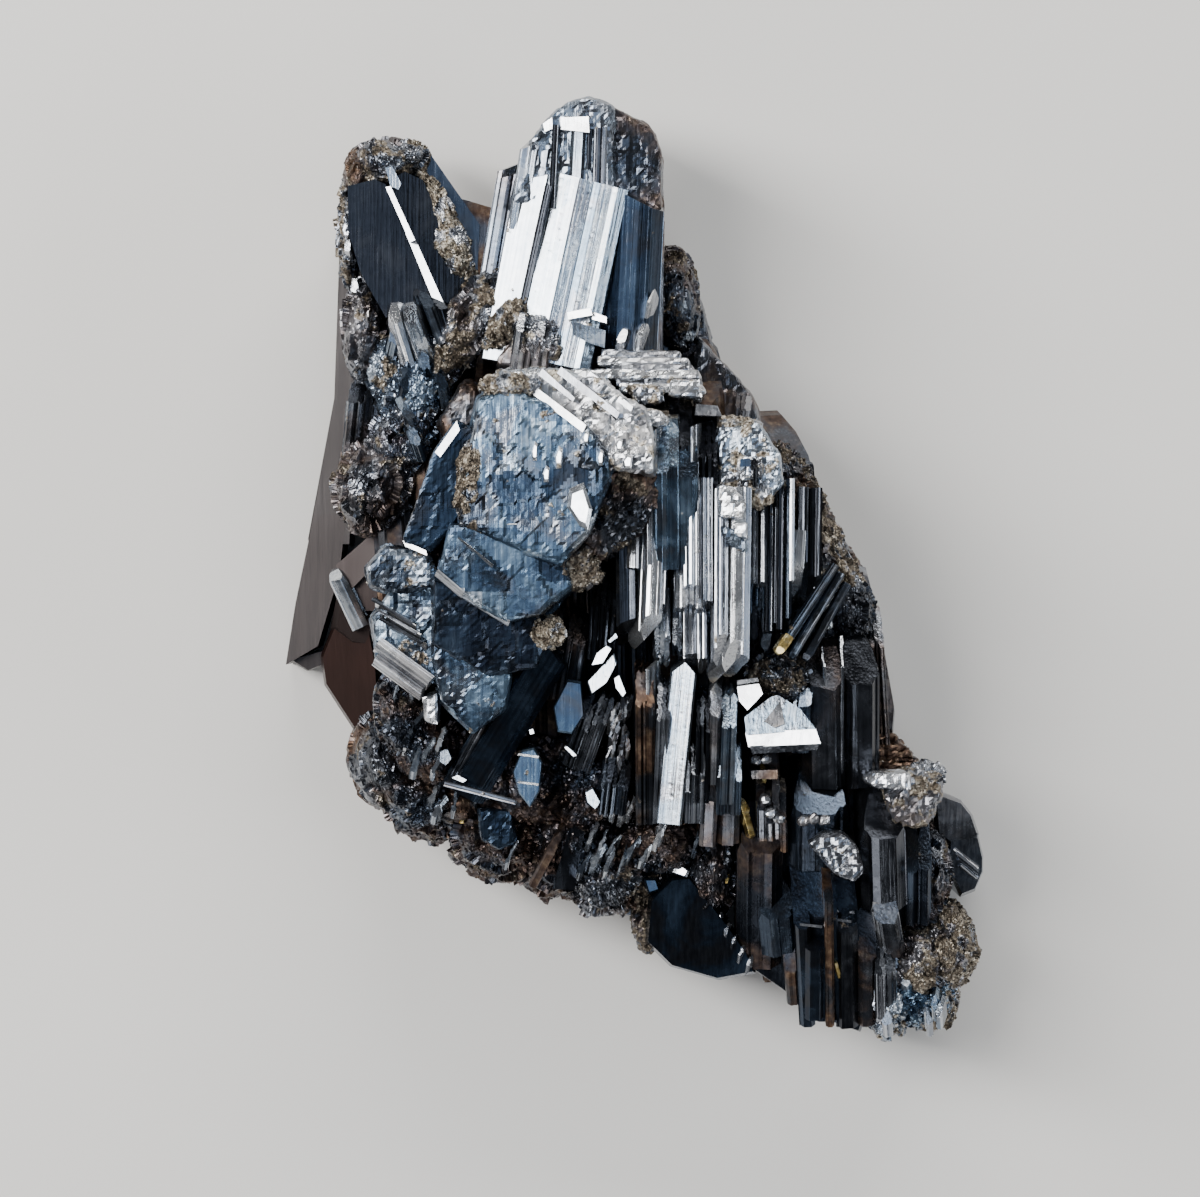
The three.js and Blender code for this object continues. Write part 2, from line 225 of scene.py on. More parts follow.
def refine(bm, edge):
    """Gives a block a skin of even small faces, so that the skin can be broken up."""
    mesh = bpy.data.meshes.new("block")
    bm.to_mesh(mesh)
    holder = bpy.data.objects.new("block", mesh)
    bpy.context.scene.collection.objects.link(holder)
    skin = holder.modifiers.new("skin", "REMESH")
    skin.mode, skin.voxel_size = "VOXEL", edge
    bm.clear()
    bm.from_object(holder, bpy.context.evaluated_depsgraph_get())
    bpy.data.meshes.remove(mesh)


def crag(bm, cell, height, stretch=(1, 1, 1)):
    """Breaks a skin into facets like packed crystal ends: each cell stands in or out and tips its own way."""
    bm.normal_update()
    moves = []
    for vert in bm.verts:
        spot = vert.co * Vector(stretch) / cell
        centre = noise.voronoi(spot)[1][0]
        tip = 2.2 * noise.noise_vector(centre * 5.3).dot(spot - centre)
        moves.append(vert.normal * height * (1.6 * noise.noise(centre * 7.7) + tip))
    for vert, move in zip(bm.verts, moves):
        vert.co += move


def broken(bm, rough, cell, fines=1.0):
    for scale, share in ((1.0, 1.0), (0.42, 0.45 * fines), (0.2, 0.2 * fines)):
        crag(bm, cell * scale, rough * share, (1, 0.6, 1))


def slab(parts, outline, height, back, lean=(0, 0), flare=1.05, crown=1.0, drop=0.0, rough=0.0, cell=1.2, edge=0.36,
         fines=1.0, **look):
    """A block with this outline, seen from above, whose face is flat at the given height or leans by the slopes.

    A crown under 1 draws the face in, so that its edge falls away by the drop. Roughness breaks its skin up."""
    corners = [Vector(c) for c in outline]
    middle = sum(corners, Vector((0, 0))) / len(corners)
    bm = bmesh.new()
    for corner in corners:
        for spread, low in ((crown, 0.0), (1.0, drop), (flare, height - back)):
            spot = middle + (corner - middle) * spread
            tilt = (spot - middle).dot(Vector(lean)) if low < height - back else 0
            bm.verts.new((spot.x, spot.y, height + tilt - low))
    bmesh.ops.remove_doubles(bm, verts=bm.verts, dist=1e-4)
    bmesh.ops.convex_hull(bm, input=bm.verts)
    bmesh.ops.recalc_face_normals(bm, faces=bm.faces)
    if rough:
        refine(bm, edge)
        broken(bm, rough, cell, fines)
    bm.normal_update()
    reach = max(c.y for c in corners)
    paint(bm, lambda co: Vector((co.x, reach - co.y, co.z)), cell=0.8 * cell if rough else 0, **look)
    finish_part(bm, Matrix.Identity(4), parts)


def lump(parts, centre, radii, turn=0, rough=0.4, cell=1.3, detail=6, fines=0.5, **look):
    """A craggy lump of granular ore, its skin broken into packed crystal ends."""
    bm = bmesh.new()
    bmesh.ops.create_icosphere(bm, subdivisions=detail, radius=1.0)
    bmesh.ops.scale(bm, vec=radii, verts=bm.verts)
    bmesh.ops.rotate(bm, matrix=Matrix.Rotation(math.radians(turn), 3, "Z"), verts=bm.verts)
    bmesh.ops.translate(bm, vec=centre, verts=bm.verts)
    broken(bm, rough, cell, fines)
    bm.normal_update()
    paint(bm, cell=0.8 * cell, **{"spread": 0.2, "crumb": 0.6, **look})
    finish_part(bm, Matrix.Identity(4), parts)


def weld(name, parts, finish):
    """Joins the parts into one closed skin, cut flat where the cluster broke off its vein."""
    group = bpy.data.collections.new(name + "_parts")
    for part in parts[1:]:
        group.objects.link(part)
    bm = bmesh.new()
    bmesh.ops.create_cube(bm, size=0.4, matrix=Matrix.Translation((0, 0, -0.2)))
    mesh = bpy.data.meshes.new("vein")
    bm.to_mesh(mesh)
    bm.free()
    vein = bpy.data.objects.new("vein", mesh)
    base = parts[0]
    bpy.context.scene.collection.objects.link(base)
    if len(parts) > 1:
        join = base.modifiers.new("join", "BOOLEAN")
        join.operation, join.operand_type, join.collection, join.solver = "UNION", "COLLECTION", group, "MANIFOLD"
    cut = base.modifiers.new("cut", "BOOLEAN")
    cut.operation, cut.object, cut.solver = "DIFFERENCE", vein, "MANIFOLD"
    piece = settle(name, base, finish)
    for spare in [*parts, vein]:
        bpy.data.meshes.remove(spare.data)
    bpy.data.collections.remove(group)
    return piece


def settle(name, base, finish):
    """Keeps what an object's modifiers make as a finished piece of the cluster."""
    skin = bpy.data.meshes.new_from_object(base.evaluated_get(bpy.context.evaluated_depsgraph_get()))
    skin.name = name
    piece = bpy.data.objects.new(name, skin)
    bpy.context.scene.collection.objects.link(piece)
    skin.materials.clear()
    skin.materials.append(finish)
    skin.shade_flat()
    skin.update()
    print(name, len(skin.polygons), "faces")
    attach(piece, "root")
    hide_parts("crystal_cluster")
    return piece


class Tree:
    """Adds nodes to a node tree: each input is a plain value or another node's output."""

    def __init__(self, tree):
        self.tree = tree

    def add(self, kind, out=0, options=None, **inputs):
        node = self.tree.nodes.new(kind)
        for key, value in (options or {}).items():
            setattr(node, key, value)
        for key, value in inputs.items():
            socket = node.inputs[int(key[1:])] if key[0] == "i" and key[1:].isdigit() else node.inputs[key]
            self.feed(socket, value)
        return node.outputs[out] if node.outputs else None

    def feed(self, socket, value):
        if isinstance(value, bpy.types.NodeSocket):
            self.tree.links.new(value, socket)
        else:
            socket.default_value = value

    def math(self, operation, a, b=0.0, clamp=False):
        return self.add("ShaderNodeMath", options={"operation": operation, "use_clamp": clamp}, i0=a, i1=b)

    def mix(self, share, a, b):
        return self.add("ShaderNodeMix", out=2, options={"data_type": "RGBA"}, i0=share, i6=a, i7=b)

    def mix_value(self, share, a, b):
        return self.add("ShaderNodeMix", options={"data_type": "FLOAT"}, i0=share, i2=a, i3=b)

    def noise(self, place, scale, detail=4.0, rough=0.6, distortion=0.0):
        return self.add("ShaderNodeTexNoise", Vector=place, Scale=scale, Detail=detail, Roughness=rough,
                        Distortion=distortion)

    def band(self, value, low, high):
        return self.add("ShaderNodeMapRange", options={"interpolation_type": "SMOOTHSTEP"}, Value=value,
                        **{"From Min": low, "From Max": high})

    def attribute(self, name, out=2):
        return self.add("ShaderNodeAttribute", out=out, options={"attribute_name": name})

    def ramp(self, value, stops):
        node = self.tree.nodes.new("ShaderNodeValToRGB")
        node.color_ramp.elements[0].position, node.color_ramp.elements[1].position = stops[0][0], stops[-1][0]
        for place, _ in stops[1:-1]:
            node.color_ramp.elements.new(place)
        for element, (_, colour) in zip(node.color_ramp.elements, stops):
            element.color = (*colour, 1)
        self.feed(node.inputs[0], value)
        return node.outputs[0]


def stibnite(name, bright=(0.68, 0.70, 0.73), gloss=0.05):
    """Metallic stibnite: striated along each crystal, blue in blotches that are partly tarnish and partly painted sky
    reflection, brown in blotches that are stain and on the lower right prisms painted warm reflection, crusted at the
    tips.
    """
    material = bpy.data.materials.new(name)
    material.use_nodes = True
    t = Tree(material.node_tree)
    shader = material.node_tree.nodes["Principled BSDF"]
    tone = t.attribute("tone")
    grain = t.attribute("grain", out=1)
    place = t.add("ShaderNodeTexCoord", out=3)
    streaks = t.noise(t.add("ShaderNodeMapping", Vector=grain, Scale=(3.6, 0.08, 3.6)), 1.0, 3.0)
    blotch = t.noise(place, 230.0, 5.0, 0.62, 0.6)
    fine = t.noise(place, 1300.0, 4.0, 0.65)
    drift = t.math("ADD", t.math("MULTIPLY", t.math("SUBTRACT", streaks, 0.5), 0.9),
                   t.math("MULTIPLY", t.math("SUBTRACT", blotch, 0.5), 0.9))
    drift = t.math("ADD", drift, t.math("MULTIPLY", t.math("SUBTRACT", fine, 0.5), 0.4))
    shade = t.math("ADD", tone, t.math("MULTIPLY", drift, t.math("ADD", t.math("MULTIPLY", tone, 0.7), 0.25)), clamp=True)
    # The metal's brightness follows tone: random in part, and near white where tone is set high as a painted highlight.
    metal = t.ramp(shade, [(0.0, (0.022, 0.024, 0.03)), (0.3, (0.085, 0.095, 0.115)), (0.65, (0.34, 0.36, 0.40)),
                           (1.0, bright)])
    # Navy blue: partly tarnish and partly painted reflection of the blue sky.
    blue = t.ramp(shade, [(0.0, (0.014, 0.02, 0.034)), (0.35, (0.06, 0.098, 0.155)), (0.6, (0.175, 0.255, 0.345)),
                          (0.95, (0.52, 0.58, 0.64))])
    navy_share = t.math("MULTIPLY", t.band(blotch, 0.34, 0.52), t.attribute("navy"), clamp=True)
    colour = t.mix(navy_share, metal, blue)
    # Brown: stain, which on the lower right prisms is also painted warm reflection.
    brown = t.ramp(fine, [(0.28, (0.03, 0.016, 0.011)), (0.52, (0.105, 0.062, 0.04)), (0.75, (0.27, 0.19, 0.12))])
    drift = t.noise(place, 140.0, 4.0)
    stain_share = t.math("MULTIPLY", t.band(drift, 0.42, 0.60), t.attribute("stain"), clamp=True)
    colour = t.mix(stain_share, colour, brown)
    cells = t.add("ShaderNodeTexVoronoi", out=1, Vector=place, Scale=4200.0)
    cell_edge = t.add("ShaderNodeTexVoronoi", out=0, Vector=place, Scale=4200.0)
    cell_tone = t.math("ADD", t.math("MULTIPLY", t.add("ShaderNodeSeparateColor", Color=cells), 0.6),
                       t.math("SUBTRACT", t.math("MULTIPLY", shade, 0.9), 0.12))
    crumbs = t.ramp(cell_tone, [(0.1, (0.04, 0.034, 0.028)), (0.4, (0.11, 0.09, 0.07)), (0.7, (0.24, 0.205, 0.16)),
                                (1.0, (0.64, 0.59, 0.50))])
    from_tip = t.add("ShaderNodeSeparateXYZ", out=1, Vector=grain)
    patch = t.noise(place, 420.0, 3.0, 0.6)
    reach = t.math("SUBTRACT", t.attribute("crust"), t.math("MULTIPLY", patch, 3.0))
    tip_share = t.band(t.math("SUBTRACT", reach, from_tip), -1.3, -0.3)
    covered = t.math("SUBTRACT", t.math("MULTIPLY", t.attribute("crumb"), 0.3), patch)
    crust_share = t.math("MAXIMUM", tip_share, t.band(covered, -0.31, -0.25))
    colour = t.mix(crust_share, colour, crumbs)
    t.feed(shader.inputs["Base Color"], colour)
    sheen = t.math("ADD", t.math("MULTIPLY", t.band(blotch, 0.35, 0.7), 0.2), t.math("MULTIPLY", streaks, 0.16))
    sheen = t.math("ADD", sheen, t.math("MULTIPLY", stain_share, 0.2))
    t.feed(shader.inputs["Roughness"], t.mix_value(crust_share, t.math("ADD", sheen, gloss), 0.48))
    shader.inputs["Metallic"].default_value = 0.9
    pores = t.add("ShaderNodeTexVoronoi", out=0, Vector=place, Scale=900.0)
    height = t.math("ADD", t.math("MULTIPLY", streaks, 0.4), t.math("MULTIPLY", t.band(pores, 0.05, 0.3), 0.08))
    height = t.math("ADD", height, t.math("MULTIPLY", fine, 0.12))
    height = t.math("ADD", height, t.math("MULTIPLY", blotch, 0.15))
    crust_height = t.math("ADD", t.math("MULTIPLY", cell_edge, 0.8), t.math("MULTIPLY", cell_tone, 0.5))
    height = t.mix_value(crust_share, height, crust_height)
    t.feed(shader.inputs["Normal"], t.add("ShaderNodeBump", Strength=0.55, Distance=0.00016, Height=height))
    return material


def sprinkle(name, host, shape, per_mm2, size, finish, number, sway=3.14, stretch=(1, 1, 1)):
    """Scatters grains or small crystals over the crusted part of a piece, each half sunk in its skin."""
    group = bpy.data.node_groups.new(name, "GeometryNodeTree")
    group.interface.new_socket("Geometry", in_out="INPUT", socket_type="NodeSocketGeometry")
    group.interface.new_socket("Geometry", in_out="OUTPUT", socket_type="NodeSocketGeometry")
    t = Tree(group)
    floats = {"data_type": "FLOAT"}
    vectors = {"data_type": "FLOAT_VECTOR"}
    source = t.add("NodeGroupInput")
    points = t.add("GeometryNodeDistributePointsOnFaces", Mesh=source, Density=per_mm2 / MM ** 2, Seed=number)
    place = t.add("GeometryNodeInputPosition")
    crust = t.add("GeometryNodeInputNamedAttribute", options=floats, Name="crust")
    crumb = t.add("GeometryNodeInputNamedAttribute", options=floats, Name="crumb")
    grain = t.add("GeometryNodeInputNamedAttribute", options=vectors, Name="grain")
    from_tip = t.add("ShaderNodeSeparateXYZ", out=1, Vector=grain)
    patch = t.noise(place, 420.0, 3.0, 0.6)
    reach = t.math("SUBTRACT", t.math("SUBTRACT", crust, t.math("MULTIPLY", patch, 3.0)), from_tip)
    covered = t.math("SUBTRACT", t.math("MULTIPLY", crumb, 0.3), patch)
    at_tip = t.math("MULTIPLY", t.math("GREATER_THAN", reach, -0.8), t.math("GREATER_THAN", crust, 0.01))
    kept = t.math("MAXIMUM", at_tip, t.math("GREATER_THAN", covered, -0.27))
    above = t.add("ShaderNodeSeparateXYZ", out=2, Vector=place)
    kept = t.math("MULTIPLY", kept, t.math("GREATER_THAN", above, 0.35 * MM))
    points = t.add("GeometryNodeDeleteGeometry", options={"domain": "POINT"}, Geometry=points,
                   Selection=t.math("LESS_THAN", kept, 0.5))
    lows, highs = [0.55 * size * MM * s for s in stretch], [1.45 * size * MM * s for s in stretch]
    scale = t.add("FunctionNodeRandomValue", options=vectors, i0=lows, i1=highs, Seed=number + 1)
    turn = t.add("FunctionNodeRandomValue", options=vectors, i0=(-sway, -3.14, -sway), i1=(sway, 3.14, sway),
                 Seed=number + 2)
    body = t.add("GeometryNodeObjectInfo", out=4, options={"transform_space": "ORIGINAL"}, Object=shape)
    grains = t.add("GeometryNodeInstanceOnPoints", Points=points, Instance=body, Rotation=turn, Scale=scale)
    shade = t.add("FunctionNodeRandomValue", out=1, i2=0.0, i3=1.0, Seed=number + 3)
    grains = t.add("GeometryNodeStoreNamedAttribute", options={**floats, "domain": "INSTANCE"}, Geometry=grains,
                   Name="tone", Value=shade)
    grains = t.add("GeometryNodeRealizeInstances", Geometry=grains)
    t.add("NodeGroupOutput", Geometry=grains)
    bed = host.copy()
    bpy.context.scene.collection.objects.link(bed)
    bed.modifiers.new("sprinkle", "NODES").node_group = group
    settle(name, bed, finish)
    bpy.data.objects.remove(bed)


ore_finish = stibnite("dull_ore", bright=(0.42, 0.43, 0.45), gloss=0.16)
ore = []
OLD = {"cap": "dome", "lath": 0.9, "relief": 0.4, "tone": 0.12, "stain": 0.8}
staves(ore, [-3, -26, 8], [-4, 24, 12], 25, 20, 5, **OLD)
staves(ore, [-15, -22, 8], [-18, 22, 10], 15, 20, 4, roll=-14, **OLD)
staves(ore, [11, -32, 7], [7, 16, 12], 18, 18, 4, roll=12, **OLD)
staves(ore, [21, -40, 7], [14.5, 1, 10], 14, 15, 3, roll=-8, **OLD)
staves(ore, [-4, -26, 7], [-24, -12, 8], 12, 16, 3, **OLD)
weld("massive_ore", ore, ore_finish)

# ---------------------------------------------------------------------------------------------------------------
# The tallest prism, at the top: mirror-bright plates round a dark groove in front, a navy face on its right, thin
# laths stepping down its left, and behind them a mottled core whose rounded end is crusted with tan grains.
bright_finish = stibnite("bright_stibnite")
tower = []
# The plates' high tone is painted highlight, and the navy on them and on the right face is partly painted sky
# reflection.
crystal(tower, [-13.6, 21, 24.8], [-10.1, 39.2, 24.8], 3.2, 12, "slant_left", spread=0.06, tone=0.8, navy=0.4,
        outline=[(-1.65, -0.6), (-1.5, 0.0), (-0.3, 0.38), (1.4, 0.98), (1.5, 0.2)])
crystal(tower, [-10.1, 21, 26.4], [-6.2, 39.2, 25.4], 7, 12, "flat", spread=0.2, tone=0.7, navy=0.8,
        outline=[(-1.75, -0.2), (-1.65, 0.2), (0.75, 0.98), (0.85, 0.72), (2.15, 0.8), (2.2, 0.66), (2.9, 0.88),
                 (2.95, 0.8), (4.1, 0.9), (4.15, 0.95), (4.7, 1.1), (5.7, 0.6), (5.9, -0.6)])
crystal(tower, [-0.9, 20, 20.6], [0.0, 38.2, 21.2], 5.6, 10, "slant", roll=4, lath=1.1, relief=0.08, tilt=5, tone=0.12,
        navy=0.8, spread=0.08)
staves(tower, [-8.6, 12, 13.0], [-5.0, 43.0, 15.4], 12.0, 16, 4, stagger=0.05, cap="dome", lath=1.2, relief=0.2,
       tone=0.3, navy=0.5, stain=0.5)
crystal(tower, [-12.2, 21, 21.4], [-8.3, 38.8, 22.4], 0.9, 9, "flat", lath=0.3, tone=0.08)
slab(tower, [(-11.2, 41.8), (-9.9, 43.3), (-9.0, 44.7), (-7.7, 46.1), (-6.4, 46.9), (-4.6, 47.3), (-2.8, 46.9),
             (-1.8, 46.0), (-1.6, 36.0), (-12.6, 36.0)], 25.4, 7, lean=(0.05, -0.03), flare=1.0, crown=0.9, drop=2.0,
     rough=0.12, cell=1.6, tone=0.5, navy=0.5, stain=0.3, crumb=0.1)
slab(tower, [(-2.6, 46.6), (-0.2, 45.3), (1.2, 44.8), (2.1, 43.7), (2.8, 41.6), (2.8, 34.0), (-3.2, 34.0)], 24.2, 7,
     lean=(-0.1, -0.05), flare=1.0, crown=0.9, drop=2.0, rough=0.12, cell=1.6, tone=0.25, navy=0.3, stain=0.7,
     crumb=0.3)
staves(tower, [-10.4, 34, 21.4], [-9.0, 43.2, 22.0], 3.0, 8, 3, stagger=0.05, cap="slant_left", roll=-10, lath=0.9,
       relief=0.08, tilt=5, tone=0.55, navy=0.4)
staves(tower, [-6.6, 34, 21.8], [-6.0, 45.0, 21.8], 3.4, 8, 2, stagger=0.01, cap="flat", roll=-6, lath=1.4, relief=0.06,
       tilt=4, tone=0.55, navy=0.5, stain=0.2)
staves(tower, [-4.0, 34, 21.8], [-3.7, 44.6, 21.8], 1.9, 8, 4, stagger=0.05, cap="flat", lath=0.3, tone=0.2)
crystal(tower, [-8.2, 36, 22.4], [-7.8, 44.6, 22.4], 0.6, 8, "flat", lath=0.25, tone=0.06)
crystal(tower, [1.9, 20, 17.4], [2.1, 38.4, 18], 1.7, 12, "dome", lath=1.4, tone=0.35, stain=0.6)
# Two small faces tilted toward the key panel and painted near white: painted highlights.
slab(tower, [(-7.4, 45.0), (-4.6, 45.0), (-4.5, 43.4), (-7.3, 43.8)], 26.4, 18, lean=(0.33, -0.1), tone=0.95)
slab(tower, [(-9.1, 44.4), (-8.2, 45.0), (-8.1, 43.9), (-8.9, 43.6)], 25.8, 18, lean=(0.33, -0.1), tone=0.95)
staves(tower, [-14.0, 24, 17.6], [-11.0, 41.6, 18.4], 2.4, 10, 3, stagger=0.08, cap="slant_left", roll=-16, lath=1.0,
       relief=0.06, tilt=4, tone=0.45, navy=0.4, stain=0.3, spread=0.12)
lump(tower, [-4.6, 45.0, 18.0], [3.6, 2.2, 6.6], rough=0.2, cell=0.7, crumb=0.9, tone=0.42, stain=0.3)
lump(tower, [-0.4, 43.9, 17.4], [2.7, 1.3, 6.0], -22, rough=0.2, cell=0.7, crumb=0.8, tone=0.25, stain=0.5)
# Two faces tilted toward the key panel and painted white as highlights, and a navy one that is partly painted sky
# reflection.
slab(tower, [(-6.7, 25.6), (-4.4, 26.0), (-4.2, 25.3), (-6.6, 24.9)], 28.4, 20, lean=(0.3, -0.1), tone=1.0)
slab(tower, [(-4.3, 25.7), (-2.8, 25.1), (-2.8, 24.5), (-4.2, 24.9)], 28.5, 20, lean=(0.3, -0.1), tone=1.0)
slab(tower, [(-6.3, 24.8), (-2.9, 23.8), (-3.0, 22.1), (-4.5, 22.6), (-6.1, 23.4)], 28.2, 20, lean=(0.1, 0.1),
     tone=0.6, navy=0.6)
# Small crystals painted near white as glints: painted highlights.
for x, y, wide, tall in ((-1.2, 22.2, 0.9, 1.9), (0.6, 22.0, 0.7, 2.6), (1.6, 25.4, 0.3, 2.6)):
    crystal(tower, [x, y, 25.4], [x + 0.15 * tall, y + tall, 26.2], wide, 3, "dome", roll=-15, lath=2, tone=0.85)
lump(tower, [4.2, 27.4, 14.5], [2.3, 5.4, 6.4], 8, rough=0.5, cell=1.6, tone=0.2, stain=0.4, navy=0.4, crumb=0.45)
tower_prism = weld("tower_prism", tower, bright_finish)

# Grains of tan and pale ore are sown on the crust of this piece and of later ones, all but the edge blades, the brass
# slivers and the riser prisms. They are rounded crumbs well under a millimetre across, dull beside the metal.
bm = bmesh.new()
bmesh.ops.create_icosphere(bm, subdivisions=1, radius=1.0)
crumb_shape = bpy.data.objects.new("crumb_shape", bpy.data.meshes.new("crumb_shape"))
bm.to_mesh(crumb_shape.data)
bm.free()
bm = bmesh.new()
bmesh.ops.create_cone(bm, cap_ends=True, segments=5, radius1=0.55, radius2=0.34, depth=2.6)
bmesh.ops.rotate(bm, matrix=Matrix.Rotation(math.radians(-90), 3, "X"), verts=bm.verts)
sprout_shape = bpy.data.objects.new("sprout_shape", bpy.data.meshes.new("sprout_shape"))
bm.to_mesh(sprout_shape.data)
bm.free()
CRUMB = {"shape": crumb_shape, "per_mm2": 5.0, "size": 0.085}
SPROUT = {"shape": sprout_shape, "per_mm2": 1.0, "size": 0.28, "sway": 0.5}


def crumb_material(name, pale, mid, dark):
    material = bpy.data.materials.new(name)
    material.use_nodes = True
    t = Tree(material.node_tree)
    shader = material.node_tree.nodes["Principled BSDF"]
    place = t.add("ShaderNodeTexCoord", out=3)
    drift = t.noise(place, 160.0, 3.0)
    shade = t.math("ADD", t.attribute("tone"), t.math("MULTIPLY", t.math("SUBTRACT", drift, 0.5), 1.4), clamp=True)
    colour = t.ramp(shade, [(0.0, dark), (0.5, mid), (0.86, pale), (1.0, (0.78, 0.74, 0.66))])
    t.feed(shader.inputs["Base Color"], colour)
    t.feed(shader.inputs["Roughness"], t.math("ADD", 0.28, t.math("MULTIPLY", drift, 0.2)))
    shader.inputs["Metallic"].default_value = 0.8
    t.feed(shader.inputs["Normal"], t.add("ShaderNodeBump", Strength=0.4, Distance=0.00008,
                                         Height=t.noise(place, 9000.0, 2.0)))
    return material


tan_crumbs = crumb_material("tan_crumbs", (0.27, 0.235, 0.185), (0.085, 0.072, 0.058), (0.018, 0.016, 0.015))
dark_crumbs = crumb_material("dark_crumbs", (0.20, 0.175, 0.145), (0.05, 0.043, 0.036), (0.014, 0.013, 0.013))
sprinkle("tower_crumbs", tower_prism, finish=tan_crumbs, number=11, **CRUMB)

# ---------------------------------------------------------------------------------------------------------------
# The leaning spire at the top left: a near-black front with one thin bright bevel down it, a crusted round end and a
# crusted right edge, and flat dark blades behind it.
dark_finish = stibnite("dark_stibnite", bright=(0.56, 0.58, 0.62))
spire = []
slab(spire, [(-28.7, 38.7), (-26.0, 39.4), (-24.9, 38.9), (-19.5, 27.3), (-21.5, 26.0), (-24.9, 25.6), (-27.4, 30.0),
             (-28.6, 34.0)], 19.4, 7, lean=(-0.1, 0.02), tone=0.03, spread=0.02)
slab(spire, [(-24.7, 39.3), (-23.0, 40.2), (-21.2, 39.4), (-18.2, 33.0), (-16.9, 29.0), (-18.2, 27.0), (-19.3, 27.2)],
     18.6, 7, lean=(-0.16, 0.0), tone=0.05, spread=0.02)
# The thin bright bevel: two strips tilted toward the key panel and painted white, a painted highlight.
slab(spire, [(-24.9, 38.6), (-24.4, 38.7), (-21.9, 33.2), (-22.4, 33.0)], 20.5, 5, lean=(0.34, -0.1), flare=1.0,
     tone=1.0, spread=0)
slab(spire, [(-22.9, 34.0), (-22.2, 34.0), (-18.9, 26.6), (-19.6, 26.0)], 20.8, 5, lean=(0.34, -0.1), flare=1.0,
     tone=1.0, spread=0)
slab(spire, [(-24.9, 40.5), (-24.2, 40.6), (-23.3, 38.9), (-23.6, 38.3), (-24.4, 38.7)], 20.3, 15, tone=0.75, navy=0.6)
lump(spire, [-25.1, 41.2, 14.6], [3.8, 2.7, 4.8], rough=0.35, cell=1.6, crumb=0.55, tone=0.3, stain=0.4)
lump(spire, [-27.9, 39.8, 13.8], [1.5, 3.2, 4.6], rough=0.3, cell=1.2, crumb=0.5, tone=0.2, stain=0.8)
lump(spire, [-22.6, 42.0, 15.0], [1.9, 1.6, 4.0], rough=0.3, cell=1.2, crumb=0.7, tone=0.4)
lump(spire, [-18.7, 34.4, 15.8], [1.2, 6.8, 3.4], 24, rough=0.4, cell=0.9, crumb=0.9, tone=0.6)
lump(spire, [-18.3, 32.6, 16.8], [1.6, 3.2, 3.0], 20, rough=0.4, cell=0.7, crumb=0.7, tone=0.8)
lump(spire, [-28.9, 34.6, 12.6], [0.9, 5.6, 5.0], rough=0.4, cell=1.0, crumb=0.6, tone=0.4)
slab(spire, [(-22.4, 43.2), (-21.2, 43.2), (-15.6, 35.2), (-16.0, 27.0), (-20.0, 27.0)], 15.2, 5, lean=(-0.05, 0.05),
     tone=0.14, navy=0.5)
slab(spire, [(-17.4, 37.9), (-14.3, 37.0), (-13.2, 34.0), (-13.0, 22.0), (-18.0, 22.0)], 13.6, 4, lean=(-0.1, 0.0),
     tone=0.12, stain=1.0)
# Small crystals painted near white down the left edge: painted highlights.
for x, y in ((-28.6, 34.3), (-28.5, 32.5), (-27.8, 28.6), (-27.0, 26.0)):
    crystal(spire, [x, y - 0.8, 15.5], [x - 0.3, y + 0.9, 17.5], 0.9, 2, "dome", roll=-15, lath=2, tone=0.95)
left_spire = weld("left_spire", spire, dark_finish)
sprinkle("spire_crumbs", left_spire, finish=tan_crumbs, number=21, **CRUMB)

# ---------------------------------------------------------------------------------------------------------------
# The long smooth blades that make the left edge, pinkish grey with age, and the red-brown plates they end in.
aged = bpy.data.materials.new("aged_blade")
aged.use_nodes = True
t = Tree(aged.node_tree)
aged_shader = aged.node_tree.nodes["Principled BSDF"]
place = t.add("ShaderNodeTexCoord", out=3)
long_grain = t.noise(t.add("ShaderNodeMapping", Vector=place, Scale=(900.0, 60.0, 900.0)), 1.0, 3.0)
drift = t.noise(place, 90.0, 4.0)
rust = t.math("MULTIPLY", t.attribute("stain"), t.math("ADD", 0.55, t.math("MULTIPLY", drift, 0.7)), clamp=True)
shade = t.math("ADD", t.attribute("tone"), t.math("MULTIPLY", t.math("SUBTRACT", long_grain, 0.5), 0.5), clamp=True)
grey = t.ramp(shade, [(0.0, (0.03, 0.026, 0.026)), (0.5, (0.034, 0.031, 0.032)), (1.0, (0.11, 0.104, 0.104))])
red = t.ramp(shade, [(0.0, (0.02, 0.008, 0.006)), (0.5, (0.035, 0.016, 0.013)), (1.0, (0.10, 0.05, 0.038))])
t.feed(aged_shader.inputs["Base Color"], t.mix(rust, grey, red))
t.feed(aged_shader.inputs["Roughness"], t.math("ADD", 0.26, t.math("MULTIPLY", drift, 0.25)))
aged_shader.inputs["Metallic"].default_value = 0.7
t.feed(aged_shader.inputs["Normal"], t.add("ShaderNodeBump", Strength=0.4, Distance=0.00012, Height=long_grain))

